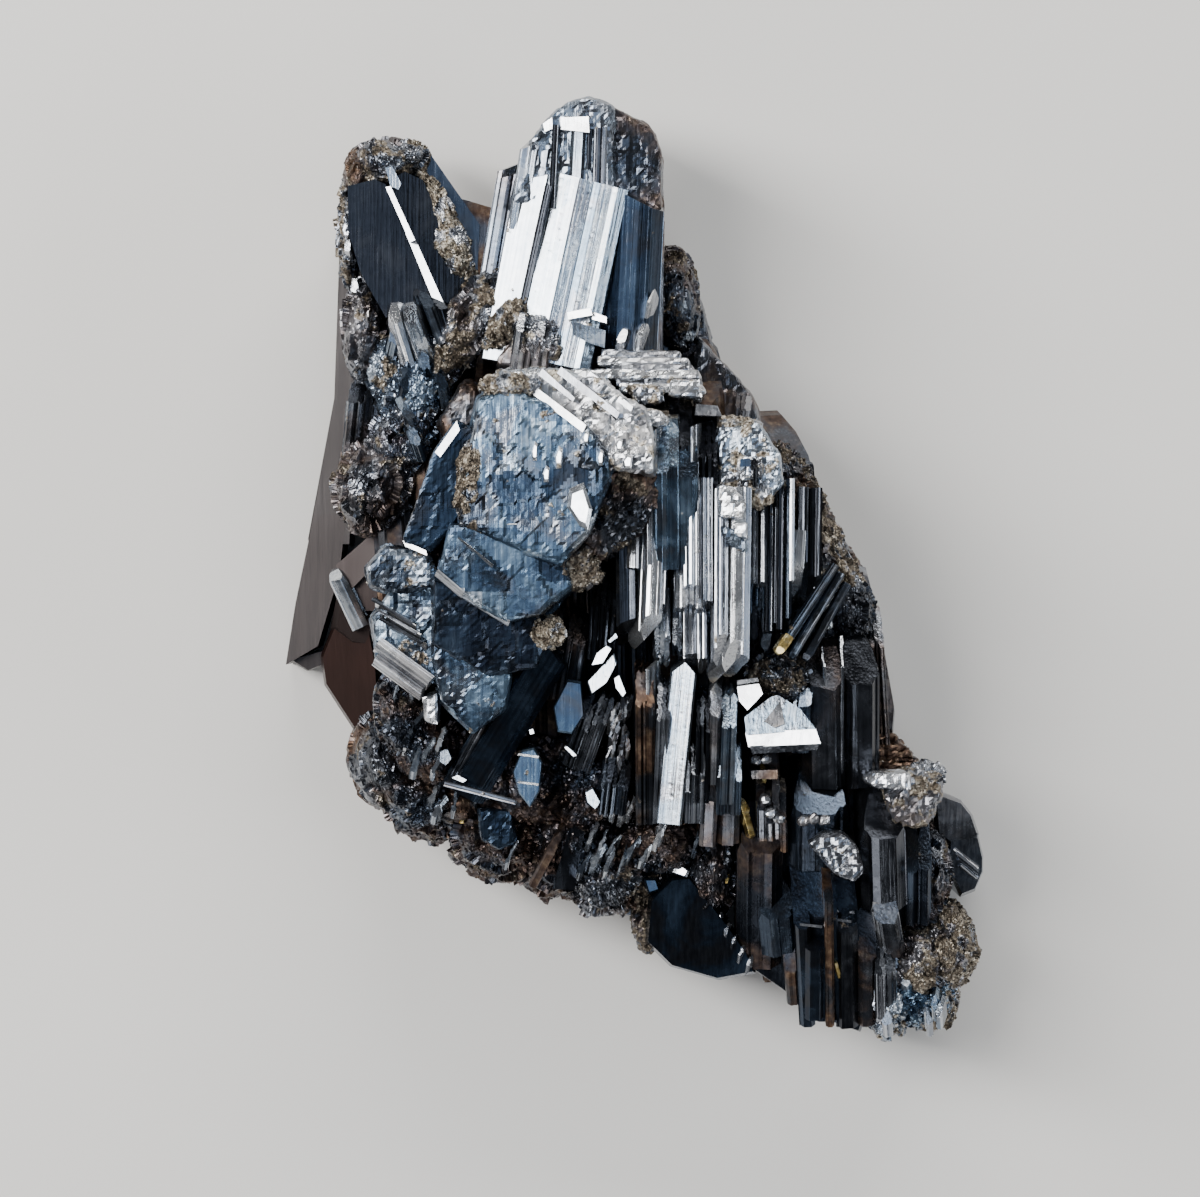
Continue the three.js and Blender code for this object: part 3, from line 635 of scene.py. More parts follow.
blade = []
slab(blade, [(-29.9, 36.0), (-28.2, 36.0), (-28.0, 16.0), (-30.6, 16.0), (-30.3, 22.0)], 10.6, 0, lean=(0.12, 0),
     flare=1.0, tone=0.22, spread=0)
slab(blade, [(-30.5, 18.0), (-28.0, 18.0), (-29.0, 3.0), (-33.2, 3.0), (-31.4, 11.0)], 10.6, 0, lean=(0.12, 0),
     flare=1.0, tone=0.22, spread=0)
slab(blade, [(-32.6, 6.0), (-29.3, 6.0), (-30.0, 0.0), (-32.2, -7.4), (-35.5, -9.3), (-34.5, -3.0)], 10.4, 0,
     lean=(0.12, 0), flare=1.0, tone=0.25, spread=0, stain=0.1)
slab(blade, [(-35.3, -8.8), (-30.8, -7.6), (-30.4, -8.8), (-33.4, -10.0)], 8.6, 0, flare=1.0, crown=0.9, drop=0.8,
     tone=0.5, stain=0.2)
slab(blade, [(-32.0, -8.4), (-30.0, -3.6), (-27.2, -3.0), (-26.0, -9.0), (-25.6, -16.6), (-28.0, -16.8),
             (-31.6, -11.4)], 12.4, 0, lean=(0.5, 0.1), crown=0.9, drop=1.5, flare=1.0, tone=0.4, stain=1.0)
slab(blade, [(-30.2, 0.8), (-25.6, 4.8), (-24.4, 4.4), (-25.6, 1.4), (-28.6, -1.6)], 14.6, 4, lean=(0.2, 0), tone=0.45,
     stain=0.3)
slab(blade, [(-29.2, 0.2), (-25.6, 1.6), (-26.2, -3.8), (-28.2, -3.8)], 13.2, 4, lean=(0.1, 0), tone=0.12, stain=0.5)
slab(blade, [(-29.8, -0.4), (-28.8, -4.8), (-26.0, -4.8), (-26.2, -8.0), (-28.6, -7.6), (-30.9, -5.6)], 13.4, 4,
     lean=(0.3, 0.2), crown=0.7, drop=1.6, tone=0.4, stain=0.55)
for low in (1.4, 3.9, 6.3, 8.7):
    for top, bottom in (((-29.6, 35.8), (-30.2, 16.4)), ((-30.1, 18.0), (-32.9, 3.0)), ((-32.3, 5.6), (-34.9, -8.6))):
        crystal(blade, [*top, low], [*bottom, low], seed.uniform(0.6, 1.0), 2.7, "slant", lath=0.6, relief=0.12,
                spread=0.1, tone=0.25)
weld("edge_blades", blade, aged)

# ---------------------------------------------------------------------------------------------------------------
# Lumps of fine grey and brown crystals down the left side, with small blue and cream prisms between them: their
# blue is partly painted sky reflection, and the palest are painted highlights.
druse = []
lump(druse, [-27.2, 24.4, 14.6], [2.0, 5.2, 5.6], rough=0.55, cell=1.8, tone=0.35, stain=0.3, crumb=0.3)
lump(druse, [-26.1, 9.2, 16.6], [3.7, 5.2, 5.4], -22, rough=0.7, cell=2.0, tone=0.32, stain=0.5, crumb=0.35)
lump(druse, [-21.8, 18.0, 17.6], [3.3, 6.2, 4.8], -8, rough=0.6, tone=0.45, navy=0.7, crumb=0.42)
lump(druse, [-23.8, 12.8, 17.6], [2.8, 3.6, 4.4], -20, rough=0.6, cell=1.8, tone=0.36, navy=0.5, stain=0.3,
     crumb=0.35)
lump(druse, [-24.6, 20.6, 16.8], [1.9, 3.6, 4.2], rough=0.5, tone=0.45, navy=0.5, crumb=0.5)
# Crystals painted near white or navy here: painted highlights, and navy that is partly painted sky reflection.
crystal(druse, [-22.3, 21.4, 20], [-23.9, 26.8, 22.4], 1.5, 4, "dome", roll=-18, lath=0.8, tone=0.95)
crystal(druse, [-20.7, 21.6, 20], [-22.5, 26.8, 22.2], 1.7, 4, "dome", roll=-12, lath=0.25, tone=0.75, navy=0.5)
crystal(druse, [-18.8, 21.2, 20], [-21.4, 28.2, 21.0], 1.2, 4, "roof", roll=10, lath=0.6, tone=0.2, navy=0.4)
crystal(druse, [-18.0, 21.2, 20], [-20.0, 28.0, 20.8], 1.0, 4, "roof", roll=14, lath=0.6, tone=0.1)
staves(druse, [-28.0, 9.0, 14], [-26.8, 19.8, 15.2], 3.4, 5, 4, cap="roof", lath=0.5, tone=0.2, stain=0.3)
crystal(druse, [-28.9, 12.0, 14], [-28.4, 17.6, 15], 0.4, 3, "flat", roll=-18, lath=2, tone=0.9)
for x, y, lean, tone in ((-21.2, 16.6, 0.9, 0.9), (-20.6, 19.6, 0.5, 0.3), (-22.4, 14.4, 0.6, 0.6),
                         (-20.2, 21.2, 1.6, 0.95), (-23.4, 17.4, -0.8, 0.15), (-21.6, 12.0, 0.8, 0.5),
                         (-24.2, 22.2, -0.7, 0.5), (-19.2, 17.4, 0.4, 0.4)):
    crystal(druse, [x, y, 20], [x - lean, y + 2.6, 22.6], 1.2, 3, "roof", roll=seed.uniform(-20, 20), lath=0.5, tone=tone,
            navy=0.6)
slab(druse, [(-19.6, 15.0), (-16.9, 19.4), (-15.4, 18.6), (-15.6, 14.6), (-18.4, 12.2)], 24.6, 14, lean=(0.1, -0.1),
     crown=0.8, drop=1.4, rough=0.2, tone=0.35, stain=0.9)
# A crystal painted white at the left: painted highlight.
crystal(druse, [-27.6, -5.4, 13.4], [-30.3, 0.4, 13.8], 1.7, 3, "dome", roll=-12, lath=0.8, tone=1.0, navy=0.4)
left_druse = weld("left_druse", druse, bright_finish)
sprinkle("druse_crumbs", left_druse, finish=tan_crumbs, number=31, **CRUMB)
sprinkle("druse_sprouts", left_druse, finish=bright_finish, number=35, **SPROUT)

# ---------------------------------------------------------------------------------------------------------------
# The saddle between the spire and the tower: a tan granular ridge that runs down to the left, a paler lump of
# upright crystals at its right end, and a black hollow under it.
saddle = []
lump(saddle, [-16.0, 25.2, 20.4], [2.6, 5.8, 4.2], -36, rough=0.6, cell=1.8, tone=0.42, stain=0.4, crumb=0.6)
lump(saddle, [-12.3, 29.4, 20.6], [1.4, 1.6, 2.4], rough=0.3, cell=0.7, tone=0.35, crumb=0.8)
lump(saddle, [-12.6, 24.6, 24.6], [1.6, 3.0, 3.6], -40, rough=0.3, cell=0.7, tone=0.45, crumb=0.9)
lump(saddle, [-18.8, 21.6, 19.4], [1.8, 3.4, 3.6], -20, rough=0.4, tone=0.4, crumb=0.8)
lump(saddle, [-9.6, 22.6, 25.0], [2.5, 3.0, 3.8], rough=0.6, cell=1.6, tone=0.6, stain=0.3, crumb=0.5)
staves(saddle, [-10.8, 18, 25], [-9.6, 25.6, 27.6], 3.6, 4, 5, stagger=0.3, cap="dome", lath=0.5, tone=0.65, stain=0.5)
slab(saddle, [(-13.8, 20.6), (-12.2, 23.2), (-10.9, 22.6), (-11.0, 20.2)], 27.2, 20, lean=(0.3, -0.2), rough=0.1,
     tone=0.6, stain=0.8)
staves(saddle, [-6.8, 18, 23], [-6.6, 24.4, 25.0], 2.4, 4, 5, stagger=0.4, cap="dome", lath=0.4, tone=0.5, crust=1)
saddle_ridge = weld("saddle_ridge", saddle, bright_finish)
sprinkle("saddle_crumbs", saddle_ridge, finish=tan_crumbs, number=41, **CRUMB)

# ---------------------------------------------------------------------------------------------------------------
# The great blue block that stands out furthest: a dimpled, scuffed steel-blue face in two terraces, a smooth navy
# plate down its left, a dark step below, and a pale striated crust over its upper right shoulder. Its blue is partly
# tarnish and partly painted sky reflection, the shoulder is painted pale partly as sunlit highlight, and its thin
# white lines, bevels and spots are painted highlights.
block_finish = stibnite("blue_block", gloss=0.1)
block = []
slab(block, [(-15.2, 16.8), (-12.2, 17.8), (-9.0, 16.6), (-5.0, 14.4), (-2.6, 11.4), (-2.4, 9.2), (-4.6, 3.4),
             (-7.4, 0.6), (-11.4, 3.6), (-17.0, 4.4), (-16.6, 9.0)], 40.4, 27, lean=(0.03, -0.02), crown=0.95, drop=0.5,
     flare=1.1, rough=0.24, cell=3.6, fines=0.4, edge=0.34, navy=1.0, tone=0.38, spread=0.3, crumb=0.2)
slab(block, [(-18.0, 4.6), (-11.0, 4.6), (-7.2, 2.6), (-6.2, -1.4), (-9.2, -4.2), (-12.4, -4.8), (-16.8, -2.2),
             (-19.0, -0.2)], 38.6, 26, lean=(0.05, 0.07), crown=0.96, drop=0.4, flare=1.1, rough=0.2, cell=3.8,
     fines=0.3, edge=0.34, navy=1.0, tone=0.4, spread=0.24, crumb=0.1)
slab(block, [(-19.6, 11.6), (-17.4, 14.8), (-15.4, 13.8), (-16.4, 9.5), (-17.4, 4.5), (-19.8, 1.9), (-22.7, 3.0),
             (-21.0, 7.5)], 36.0, 20, lean=(-0.08, 0.08), flare=1.02, rough=0.07, cell=3.0, navy=1.0, tone=0.12,
     spread=0.03)
# A cream bevel and a bright bottom edge, tilted toward the key panel and painted bright: painted highlights.
slab(block, [(-19.4, 11.6), (-17.3, 14.6), (-17.0, 13.7), (-18.9, 11.1)], 36.9, 30, lean=(0.3, -0.1), tone=0.8,
     stain=0.4)
slab(block, [(-22.6, 3.1), (-20.3, 2.1), (-20.2, 1.6), (-22.3, 2.5)], 35.8, 30, lean=(0.3, -0.1), tone=1.0)
slab(block, [(-19.6, -0.6), (-12.4, -5.0), (-8.4, -4.6), (-9.6, -9.0), (-14.4, -10.0), (-19.6, -7.0)], 35.6, 20,
     lean=(-0.05, 0.1), rough=0.2, cell=2.6, fines=0.3, navy=0.8, tone=0.06, spread=0.08, crumb=0.1)
slab(block, [(-18.0, -5.6), (-14.6, -7.2), (-12.0, -10.0), (-12.6, -13.4), (-15.8, -15.8), (-19.0, -12.6),
             (-20.0, -8.4)], 33.4, 18, lean=(0.1, 0.1), crown=0.94, drop=0.6, rough=0.18, cell=3.0, fines=0.3, navy=1.0, tone=0.34,
     spread=0.16, crumb=0.2)
slab(block, [(-23.6, -1.4), (-19.6, -1.0), (-18.4, -6.8), (-19.6, -11.0), (-25.4, -8.6), (-26.0, -4.4)], 31.6, 16,
     lean=(0.14, 0.05), crown=0.94, drop=0.6, rough=0.26, cell=1.8, fines=0.4, navy=0.8, tone=0.42, spread=0.2, crumb=0.3)
slab(block, [(-24.6, 2.6), (-20.0, 1.6), (-19.0, -0.8), (-22.0, -2.2), (-26.0, -1.4), (-26.4, 0.4)], 32.6, 16,
     lean=(0.1, 0.0), crown=0.9, drop=0.8, rough=0.3, cell=1.6, fines=0.4, navy=0.5, tone=0.4, spread=0.2, crumb=0.35)
# Thin white ledge lines: painted highlights.
crystal(block, [-16.9, -2.0, 37.9], [-12.2, -4.9, 37.6], 0.3, 1.5, "flat", roll=-20, lath=2, tone=1.0)
crystal(block, [-19.2, 0.0, 37.6], [-16.6, -2.2, 37.8], 0.4, 1.5, "flat", roll=-20, lath=0.6, tone=0.85)
crystal(block, [-17.1, 3.3, 38.6], [-13.7, 0.6, 39.0], 0.25, 1.0, "flat", roll=-20, lath=2, tone=0.9)
crystal(block, [-16.8, 4.5, 38.8], [-11.2, 4.4, 39.4], 0.5, 2.0, "flat", roll=-10, lath=0.6, tone=0.7, stain=0.4)
# Alternate bright and dark slivers: the bright ones are painted highlights.
for i in range(6):
    crystal(block, [-25.6 + 0.2 * i, -2.6 - 0.45 * i, 31.4], [-21.6 + 0.25 * i, -5.0 - 0.45 * i, 32.2],
            0.22, 1.5, "flat", roll=-22 if i % 2 else 12, lath=2, tone=0.95 if i % 2 else 0.3)
# Two pale bars: painted highlights.
crystal(block, [-25.2, -7.0, 31.4], [-20.0, -10.8, 31.6], 1.2, 3, "flat", roll=-14, lath=0.3, tone=0.95, stain=0.3)
crystal(block, [-25.4, -8.4, 30.4], [-20.8, -11.8, 30.6], 0.8, 3, "flat", roll=-20, lath=0.3, tone=0.7, stain=0.3)
# A facet painted white: painted highlight.
slab(block, [(-20.9, -12.2), (-19.3, -11.8), (-19.4, -14.9), (-20.6, -14.6)], 30.6, 20, lean=(0.33, 0), rough=0.1,
     tone=1.0)
# The pale shoulder: tan crust, painted bright partly as sunlit highlight.
slab(block, [(-13.4, 19.4), (-9.6, 19.8), (-4.0, 19.0), (1.0, 15.6), (1.8, 12.6), (1.6, 9.6), (-1.8, 9.8), (-3.0, 12.8),
             (-5.2, 14.8), (-9.4, 17.2)], 38.8, 22, lean=(0.12, -0.26), crown=0.96, drop=0.5, flare=1.06, rough=0.3,
     cell=1.8, fines=0.5, tone=0.9, stain=0.3, spread=0.3, crumb=0.35)
# Planks painted bright on faces tilted toward the key panel: painted highlights.
for x, y, long, high, tone in ((-12.0, 18.7, 8.6, 39.9, 1.0), (-9.4, 19.0, 4.2, 38.9, 0.6), (-7.6, 19.2, 7.2, 38.8, 0.55),
                               (-4.8, 18.8, 5.4, 38.2, 0.8)):
    slab(block, [(x, y), (x + 0.4, y + 0.6), (x + 0.84 * long, y - 0.54 * long), (x + 0.8 * long, y - 0.62 * long)],
         high, 20, lean=(0.31, -0.12), tone=tone, stain=0.2)
slab(block, [(-2.4, 10.0), (1.4, 9.8), (2.0, 6.4), (-0.6, 3.0), (-3.8, 1.4), (-5.0, 3.0), (-3.4, 6.0)], 37.4, 22,
     lean=(-0.3, 0.1), crown=0.9, drop=0.8, rough=0.5, cell=1.1, tone=0.15, stain=0.7, crumb=0.5)
slab(block, [(-8.0, 2.8), (-4.4, 2.4), (-3.2, -0.6), (-5.6, -1.6), (-7.4, -1.0)], 37.2, 24, lean=(0, 0.1), rough=0.35,
     cell=0.8, tone=0.45, stain=0.6, crumb=0.9)
lump(block, [-8.6, -5.8, 34.6], [1.6, 1.5, 2.4], rough=0.35, cell=0.7, tone=0.6, crumb=0.9)
lump(block, [-15.9, 9.0, 38.6], [1.3, 4.2, 1.9], -8, rough=0.35, cell=0.8, tone=0.35, crumb=0.8)
lump(block, [-12.2, 18.0, 38.4], [3.0, 1.2, 2.2], rough=0.3, cell=0.8, tone=0.5, crumb=0.8)
# A face painted white: painted highlight. Its navy is partly painted sky reflection.
slab(block, [(-6.4, 8.0), (-5.0, 8.6), (-4.2, 6.0), (-4.6, 4.0), (-5.4, 4.4), (-6.6, 6.2)], 41.2, 36, lean=(0.26, -0.1),
     crown=0.7, drop=0.3, tone=1.0, navy=0.5)
slab(block, [(-5.6, 12.4), (-3.6, 12.8), (-2.8, 10.8), (-3.4, 9.6), (-5.6, 10.0)], 41.0, 36, lean=(0.02, 0.0),
     crown=0.8, drop=0.3, rough=0.1, cell=1.2, tone=0.35, navy=1.0)
# Small spots painted white: painted highlights.
for x, y, wide, tall in ((-9.7, 11.6, 0.6, 1.9), (-8.6, 9.4, 0.7, 1.6), (-7.4, 11.0, 0.8, 2.2), (-3.4, 11.0, 0.6, 1.6),
                         (-1.6, 12.2, 0.7, 1.2), (-4.8, 12.9, 0.6, 1.2), (-0.8, 10.6, 1.0, 1.4)):
    slab(block, [(x - wide / 2, y), (x, y + tall / 2), (x + wide / 2, y + tall / 3), (x + wide / 3, y - tall / 2),
                 (x - wide / 3, y - tall / 2)], 41.3, 36, lean=(0.34, -0.12), crown=0.6, drop=0.3, tone=1.0)
blue_block = weld("blue_block", block, block_finish)
sprinkle("block_crumbs", blue_block, finish=tan_crumbs, number=51, **CRUMB)

# ---------------------------------------------------------------------------------------------------------------
# The stepped prisms between the block and the tower: thin pale plates whose ends climb like stairs, then short dark
# prisms, and a pale speckled plate with a small crystal sunk in it. The plates' pale tone, on faces toward the top
# panel, is partly painted highlight.
stair = []
for i, (x0, x1, y, high, tone) in enumerate([
        (-3.4, 4.4, 22.0, 28.4, 0.6), (-3.8, 5.2, 21.3, 29.2, 0.8), (-2.6, 5.6, 20.6, 29.8, 0.55),
        (-6.4, 6.2, 20.0, 30.6, 1.0), (-2.0, 6.4, 19.2, 31.0, 0.35), (-1.6, 6.6, 18.6, 31.8, 0.9)]):
    slab(stair, [(x0, y), (x1, y - 0.2), (x1 + 0.3, y - 1.1), (x0 + 0.2, y - 1.0)], high, 16, lean=(0.14, -0.3),
         rough=0.08, cell=1.4, fines=0.5, tone=tone, stain=0.2, crumb=0.25)
slab(stair, [(3.4, 18.8), (6.2, 18.8), (6.6, 16.9), (3.2, 17.2)], 33.4, 20, lean=(0.1, -0.3), rough=0.1, tone=0.8,
     crumb=0.4)
slab(stair, [(-0.8, 18.2), (2.6, 18.0), (2.6, 16.6), (0.2, 16.4)], 34.4, 20, lean=(0.1, -0.2), rough=0.2, cell=0.7,
     tone=0.55, stain=0.6, crumb=0.8)
staves(stair, [4.2, 4, 27.6], [4.3, 17.1, 29.8], 2.7, 8, 4, cap="shelf", lath=0.25, tone=0.2, crust=1.0)
staves(stair, [3.0, 1, 29.4], [2.9, 14.7, 32.0], 2.5, 8, 2, cap="shelf", lath=1.1, relief=0.06, tilt=4, tone=0.4,
       navy=0.9, stagger=0.02)
crystal(stair, [5.0, 1, 28.8], [4.9, 13.6, 31.4], 2.3, 8, "roof", lath=1.2, relief=0.05, tilt=4, tone=0.26, navy=0.9)
# A thin crystal painted near white: painted highlight.
crystal(stair, [1.9, 1, 32.2], [1.9, 14.0, 34.2], 0.5, 4, "flat", roll=-18, lath=1, tone=0.95)
slab(stair, [(-0.2, 15.9), (2.2, 15.6), (3.4, 14.6), (2.2, 14.0), (0.0, 14.6)], 37.0, 26, lean=(0.1, -0.3), rough=0.15,
     tone=0.9, stain=0.3, crumb=0.5)
staves(stair, [6.9, 4, 27], [6.9, 15.2, 29.2], 2.3, 8, 4, cap="shelf", lath=0.3, tone=0.05)
# A thin crystal painted near white: painted highlight.
crystal(stair, [5.9, 5, 31.6], [5.9, 14.4, 32.2], 0.4, 3, "flat", roll=-18, lath=1, tone=0.9)
slab(stair, [(5.9, 16.4), (8.0, 16.2), (8.4, 15.2), (5.8, 15.3)], 33.6, 22, lean=(0.1, -0.25), tone=0.6, stain=0.3)
slab(stair, [(8.0, 14.4), (12.2, 14.4), (14.2, 11.4), (14.5, 8.6), (13.0, 7.0), (8.0, 8.6)], 32.0, 18,
     lean=(0.16, -0.1), crown=0.96, drop=0.4, rough=0.12, cell=0.9, tone=0.62, navy=0.5, crumb=0.45)
slab(stair, [(9.8, 11.4), (12.4, 11.2), (12.6, 9.2), (10.0, 8.8)], 32.8, 22, lean=(0.2, -0.1), rough=0.08, tone=0.85,
     crumb=0.5)
slab(stair, [(10.2, 11.0), (11.2, 11.1), (11.2, 10.3), (10.2, 10.3)], 33.3, 22, lean=(0.0, 0.0), tone=0.3, navy=1.0)
crystal(stair, [11.6, 8.6, 32.4], [11.6, 11.1, 33.2], 0.5, 2, "dome", tone=0.1)
slab(stair, [(8.0, 9.0), (12.8, 8.6), (13.4, 7.2), (12.2, 6.2), (8.2, 7.4)], 32.6, 18, lean=(0.1, 0.1), crown=0.85,
     drop=0.8, rough=0.4, cell=0.7, tone=0.6, stain=0.4, crumb=0.95)
slab(stair, [(8.0, 15.4), (10.4, 15.2), (12.6, 14.6), (12.2, 14.0), (8.0, 14.2)], 31.0, 18, lean=(0, -0.3), rough=0.2,
     cell=0.7, tone=0.6, crumb=0.8)
stepped_prisms = weld("stepped_prisms", stair, bright_finish)
sprinkle("stair_crumbs", stepped_prisms, finish=tan_crumbs, number=61, **CRUMB)

# ---------------------------------------------------------------------------------------------------------------
# The bundle of bright columns that hang down the middle, with chisel ends, and the thinner dark ones at its right.
# The brightest faces, rolled toward the key panel, are painted near white as highlights.
columns = []
crystal(columns, [0.2, 8, 30.0], [0.0, 0.0, 30.8], 1.2, 5, "flat", roll=8, lath=0.9, tone=0.6)
crystal(columns, [-0.9, 4, 29.2], [-0.8, -5.8, 29.8], 2.0, 6, "slant_left", roll=4, lath=1.4, tone=0.3)
crystal(columns, [1.5, 8, 30.4], [0.9, -6.6, 31.6], 1.7, 6, "chisel", roll=-18, lath=0.9, relief=0.06, tilt=3, tone=1.0,
        spread=0.05)
staves(columns, [2.7, 8, 29.8], [2.2, -5.3, 30.8], 1.4, 6, 3, stagger=0.1, cap="slant", lath=0.4, tone=0.5)
crystal(columns, [4.8, 8, 30.6], [4.8, -1.6, 31.6], 0.9, 6, "flat", roll=-18, lath=0.9, tone=1.0, spread=0.05)
crystal(columns, [5.6, 8, 30.4], [5.6, -1.7, 31.4], 0.9, 6, "flat", roll=6, lath=0.5, tone=0.4)
staves(columns, [6.7, 9, 30.8], [6.7, -3.6, 31.8], 1.5, 6, 3, stagger=0.04, cap="flat", lath=0.35, tone=0.6)
staves(columns, [5.2, 0, 29.6], [5.2, -4.2, 30.6], 2.7, 5, 4, stagger=0.1, cap="flat", lath=0.3, tone=0.8)
lump(columns, [6.6, -4.2, 29.8], [0.9, 0.8, 1.2], rough=0.12, cell=0.8, detail=4, tone=0.5, navy=0.7, crumb=0)
crystal(columns, [8.1, 8, 30.8], [8.0, -9.2, 32.4], 1.1, 7, "chisel", roll=-8, lath=0.35, tone=0.6)
crystal(columns, [9.1, 8, 31.0], [8.8, -9.7, 32.6], 1.4, 7, "chisel", roll=-18, lath=0.8, relief=0.06, tilt=3, tone=1.0,
        spread=0.05)
crystal(columns, [10.1, 8, 30.8], [9.8, -9.2, 32.2], 0.9, 7, "slant", roll=-14, lath=0.5, tone=0.9)
crystal(columns, [10.7, 8, 30.2], [10.5, -6.0, 31.4], 0.5, 7, "slant", roll=8, lath=0.5, tone=0.15, stain=0.9)
# Faces tilted toward the key panel and painted white: painted highlights.
slab(columns, [(7.9, 8.6), (9.6, 8.2), (10.8, 6.4), (10.4, 5.0), (8.1, 5.2)], 35.6, 26, lean=(0.33, -0.05), crown=0.92,
     drop=0.4, rough=0.1, tone=1.0, crumb=0.2)
slab(columns, [(9.3, 5.0), (10.9, 4.8), (10.8, 3.2), (9.6, 3.4)], 35.6, 26, lean=(0.3, 0.0), rough=0.1, tone=0.9)
slab(columns, [(8.0, 4.6), (9.6, 4.2), (11.0, 2.4), (10.6, 1.8), (8.8, 2.8)], 35.5, 26, lean=(0.0, 0.1), crown=0.8,
     drop=0.5, rough=0.12, cell=0.8, tone=0.45, navy=0.5, crumb=0.3)
staves(columns, [2.7, -2, 28.4], [2.6, -8.7, 30.0], 1.5, 5, 3, stagger=0.2, cap="chisel", lath=0.4, tone=0.6, navy=0.4)
staves(columns, [4.1, -2, 28.4], [4.1, -8.0, 30.0], 0.9, 5, 2, stagger=0.2, cap="chisel", lath=0.4, tone=0.5, navy=0.3)
staves(columns, [5.9, -2, 28.6], [5.9, -9.2, 30.0], 2.3, 5, 5, stagger=0.15, cap="flat", lath=0.3, tone=0.7)
staves(columns, [11.9, 8, 28.0], [11.8, -2.0, 29.4], 1.8, 7, 3, stagger=0.05, cap="flat", lath=0.4, tone=0.5)
staves(columns, [12.2, 2, 26.6], [12.0, -8.0, 28.0], 2.4, 7, 4, stagger=0.3, cap="roof", lath=0.5, tone=0.25, navy=0.6)
staves(columns, [13.6, 8, 27.2], [13.4, -6.6, 28.4], 1.8, 7, 4, stagger=0.1, cap="flat", lath=0.3, tone=0.12)
# A thin column painted white: painted highlight.
crystal(columns, [14.6, 9, 27.8], [14.5, -1.4, 28.6], 0.5, 6, "flat", roll=-18, lath=0.8, tone=1.0, spread=0)
crystal(columns, [15.1, 9, 27.0], [14.9, -5.0, 28.0], 0.6, 6, "flat", lath=0.4, tone=0.1, navy=0.4)
crystal(columns, [16.0, 3.6, 27.2], [15.6, -2.3, 28.4], 1.1, 6, "chisel", roll=-3, lath=2, relief=0.04, tone=0.85,
        navy=0.3, spread=0)
staves(columns, [17.2, 8, 25.4], [17.0, -4.0, 26.6], 2.2, 8, 4, stagger=0.1, cap="roof", lath=0.4, tone=0.08)
for foot, tip, tone in (([19.6, 0.6, 28.6], [13.9, -7.9, 32.0], 0.14), ([20.2, -0.2, 27.6], [15.2, -8.4, 31.0], 0.2),
                        ([20.8, -1.2, 26.6], [16.6, -8.6, 29.8], 0.1)):
    crystal(columns, foot, tip, 0.95, 1.4, "dome", lath=0.4, relief=0.05, tone=tone, navy=0.6, spread=0.08)
# A bright facet and a blue-white dot painted white: painted highlights.
slab(columns, [(18.2, -1.6), (19.4, -1.2), (20.5, -1.4), (19.9, -3.0), (19.2, -4.4), (18.5, -3.2)], 26.6, 18,
     lean=(0.33, -0.05), crown=0.8, drop=0.4, rough=0.08, cell=0.7, tone=1.0)
lump(columns, [19.1, -5.1, 25.8], [0.5, 0.6, 0.6], rough=0.02, detail=3, tone=1.0, navy=0.8, crumb=0)
column_bundle = weld("column_bundle", columns, bright_finish)
sprinkle("column_crumbs", column_bundle, finish=tan_crumbs, number=65, **CRUMB)

# The brassy film on the end of the nearest of the three leaning rods, and the other brassy slivers; the small ones
# in the dark crevices are painted gold glints.
brass = bpy.data.materials.new("brassy_tarnish_and_glints")
brass.use_nodes = True
t = Tree(brass.node_tree)
brass_shader = brass.node_tree.nodes["Principled BSDF"]
place = t.add("ShaderNodeTexCoord", out=3)
t.feed(brass_shader.inputs["Base Color"], t.ramp(t.noise(place, 900.0, 3.0), [
    (0.3, (0.20, 0.13, 0.04)), (0.5, (0.62, 0.47, 0.18)), (0.7, (0.85, 0.74, 0.45))]))
t.feed(brass_shader.inputs["Roughness"], t.math("ADD", 0.16, t.math("MULTIPLY", t.noise(place, 1500.0), 0.25)))
brass_shader.inputs["Metallic"].default_value = 0.95
slivers = []
crystal(slivers, [14.9, -6.3, 31.4], [13.8, -7.9, 32.1], 1.0, 1.5, "dome", roll=-10, lath=0.6, relief=0.04)
crystal(slivers, [10.4, -22.4, 26.4], [11.6, -26.4, 24.6], 0.6, 1.4, "roof", roll=-18, lath=0.5, relief=0.04)
crystal(slivers, [11.0, -23.0, 26.4], [10.7, -25.0, 25.0], 0.4, 1.2, "roof", roll=-18, lath=0.5, relief=0.04)
crystal(slivers, [19.2, -38.4, 21.2], [19.1, -41.0, 19.3], 0.35, 1.4, "roof", roll=-18, lath=0.5, relief=0.04)
crystal(slivers, [19.8, -38.6, 20.6], [20.4, -40.6, 18.8], 0.35, 1.4, "roof", roll=-18, lath=0.5, relief=0.04)
# Small slivers in the dark crevices: painted gold glints.
for x, y, high in ((7.6, -26.4, 20), (9.0, -30.3, 18), (-1.2, -31.0, 16), (0.1, -26.6, 18), (-12.9, -22.9, 22),
                   (-17.4, -24.2, 20), (12.6, -20.0, 24)):
    crystal(slivers, [x, y + 0.6, high], [x + 0.2, y - 0.7, high + 1.4], 0.6, 1.2, "dome", roll=-15, lath=0.6)
weld("brass_slivers", slivers, brass)

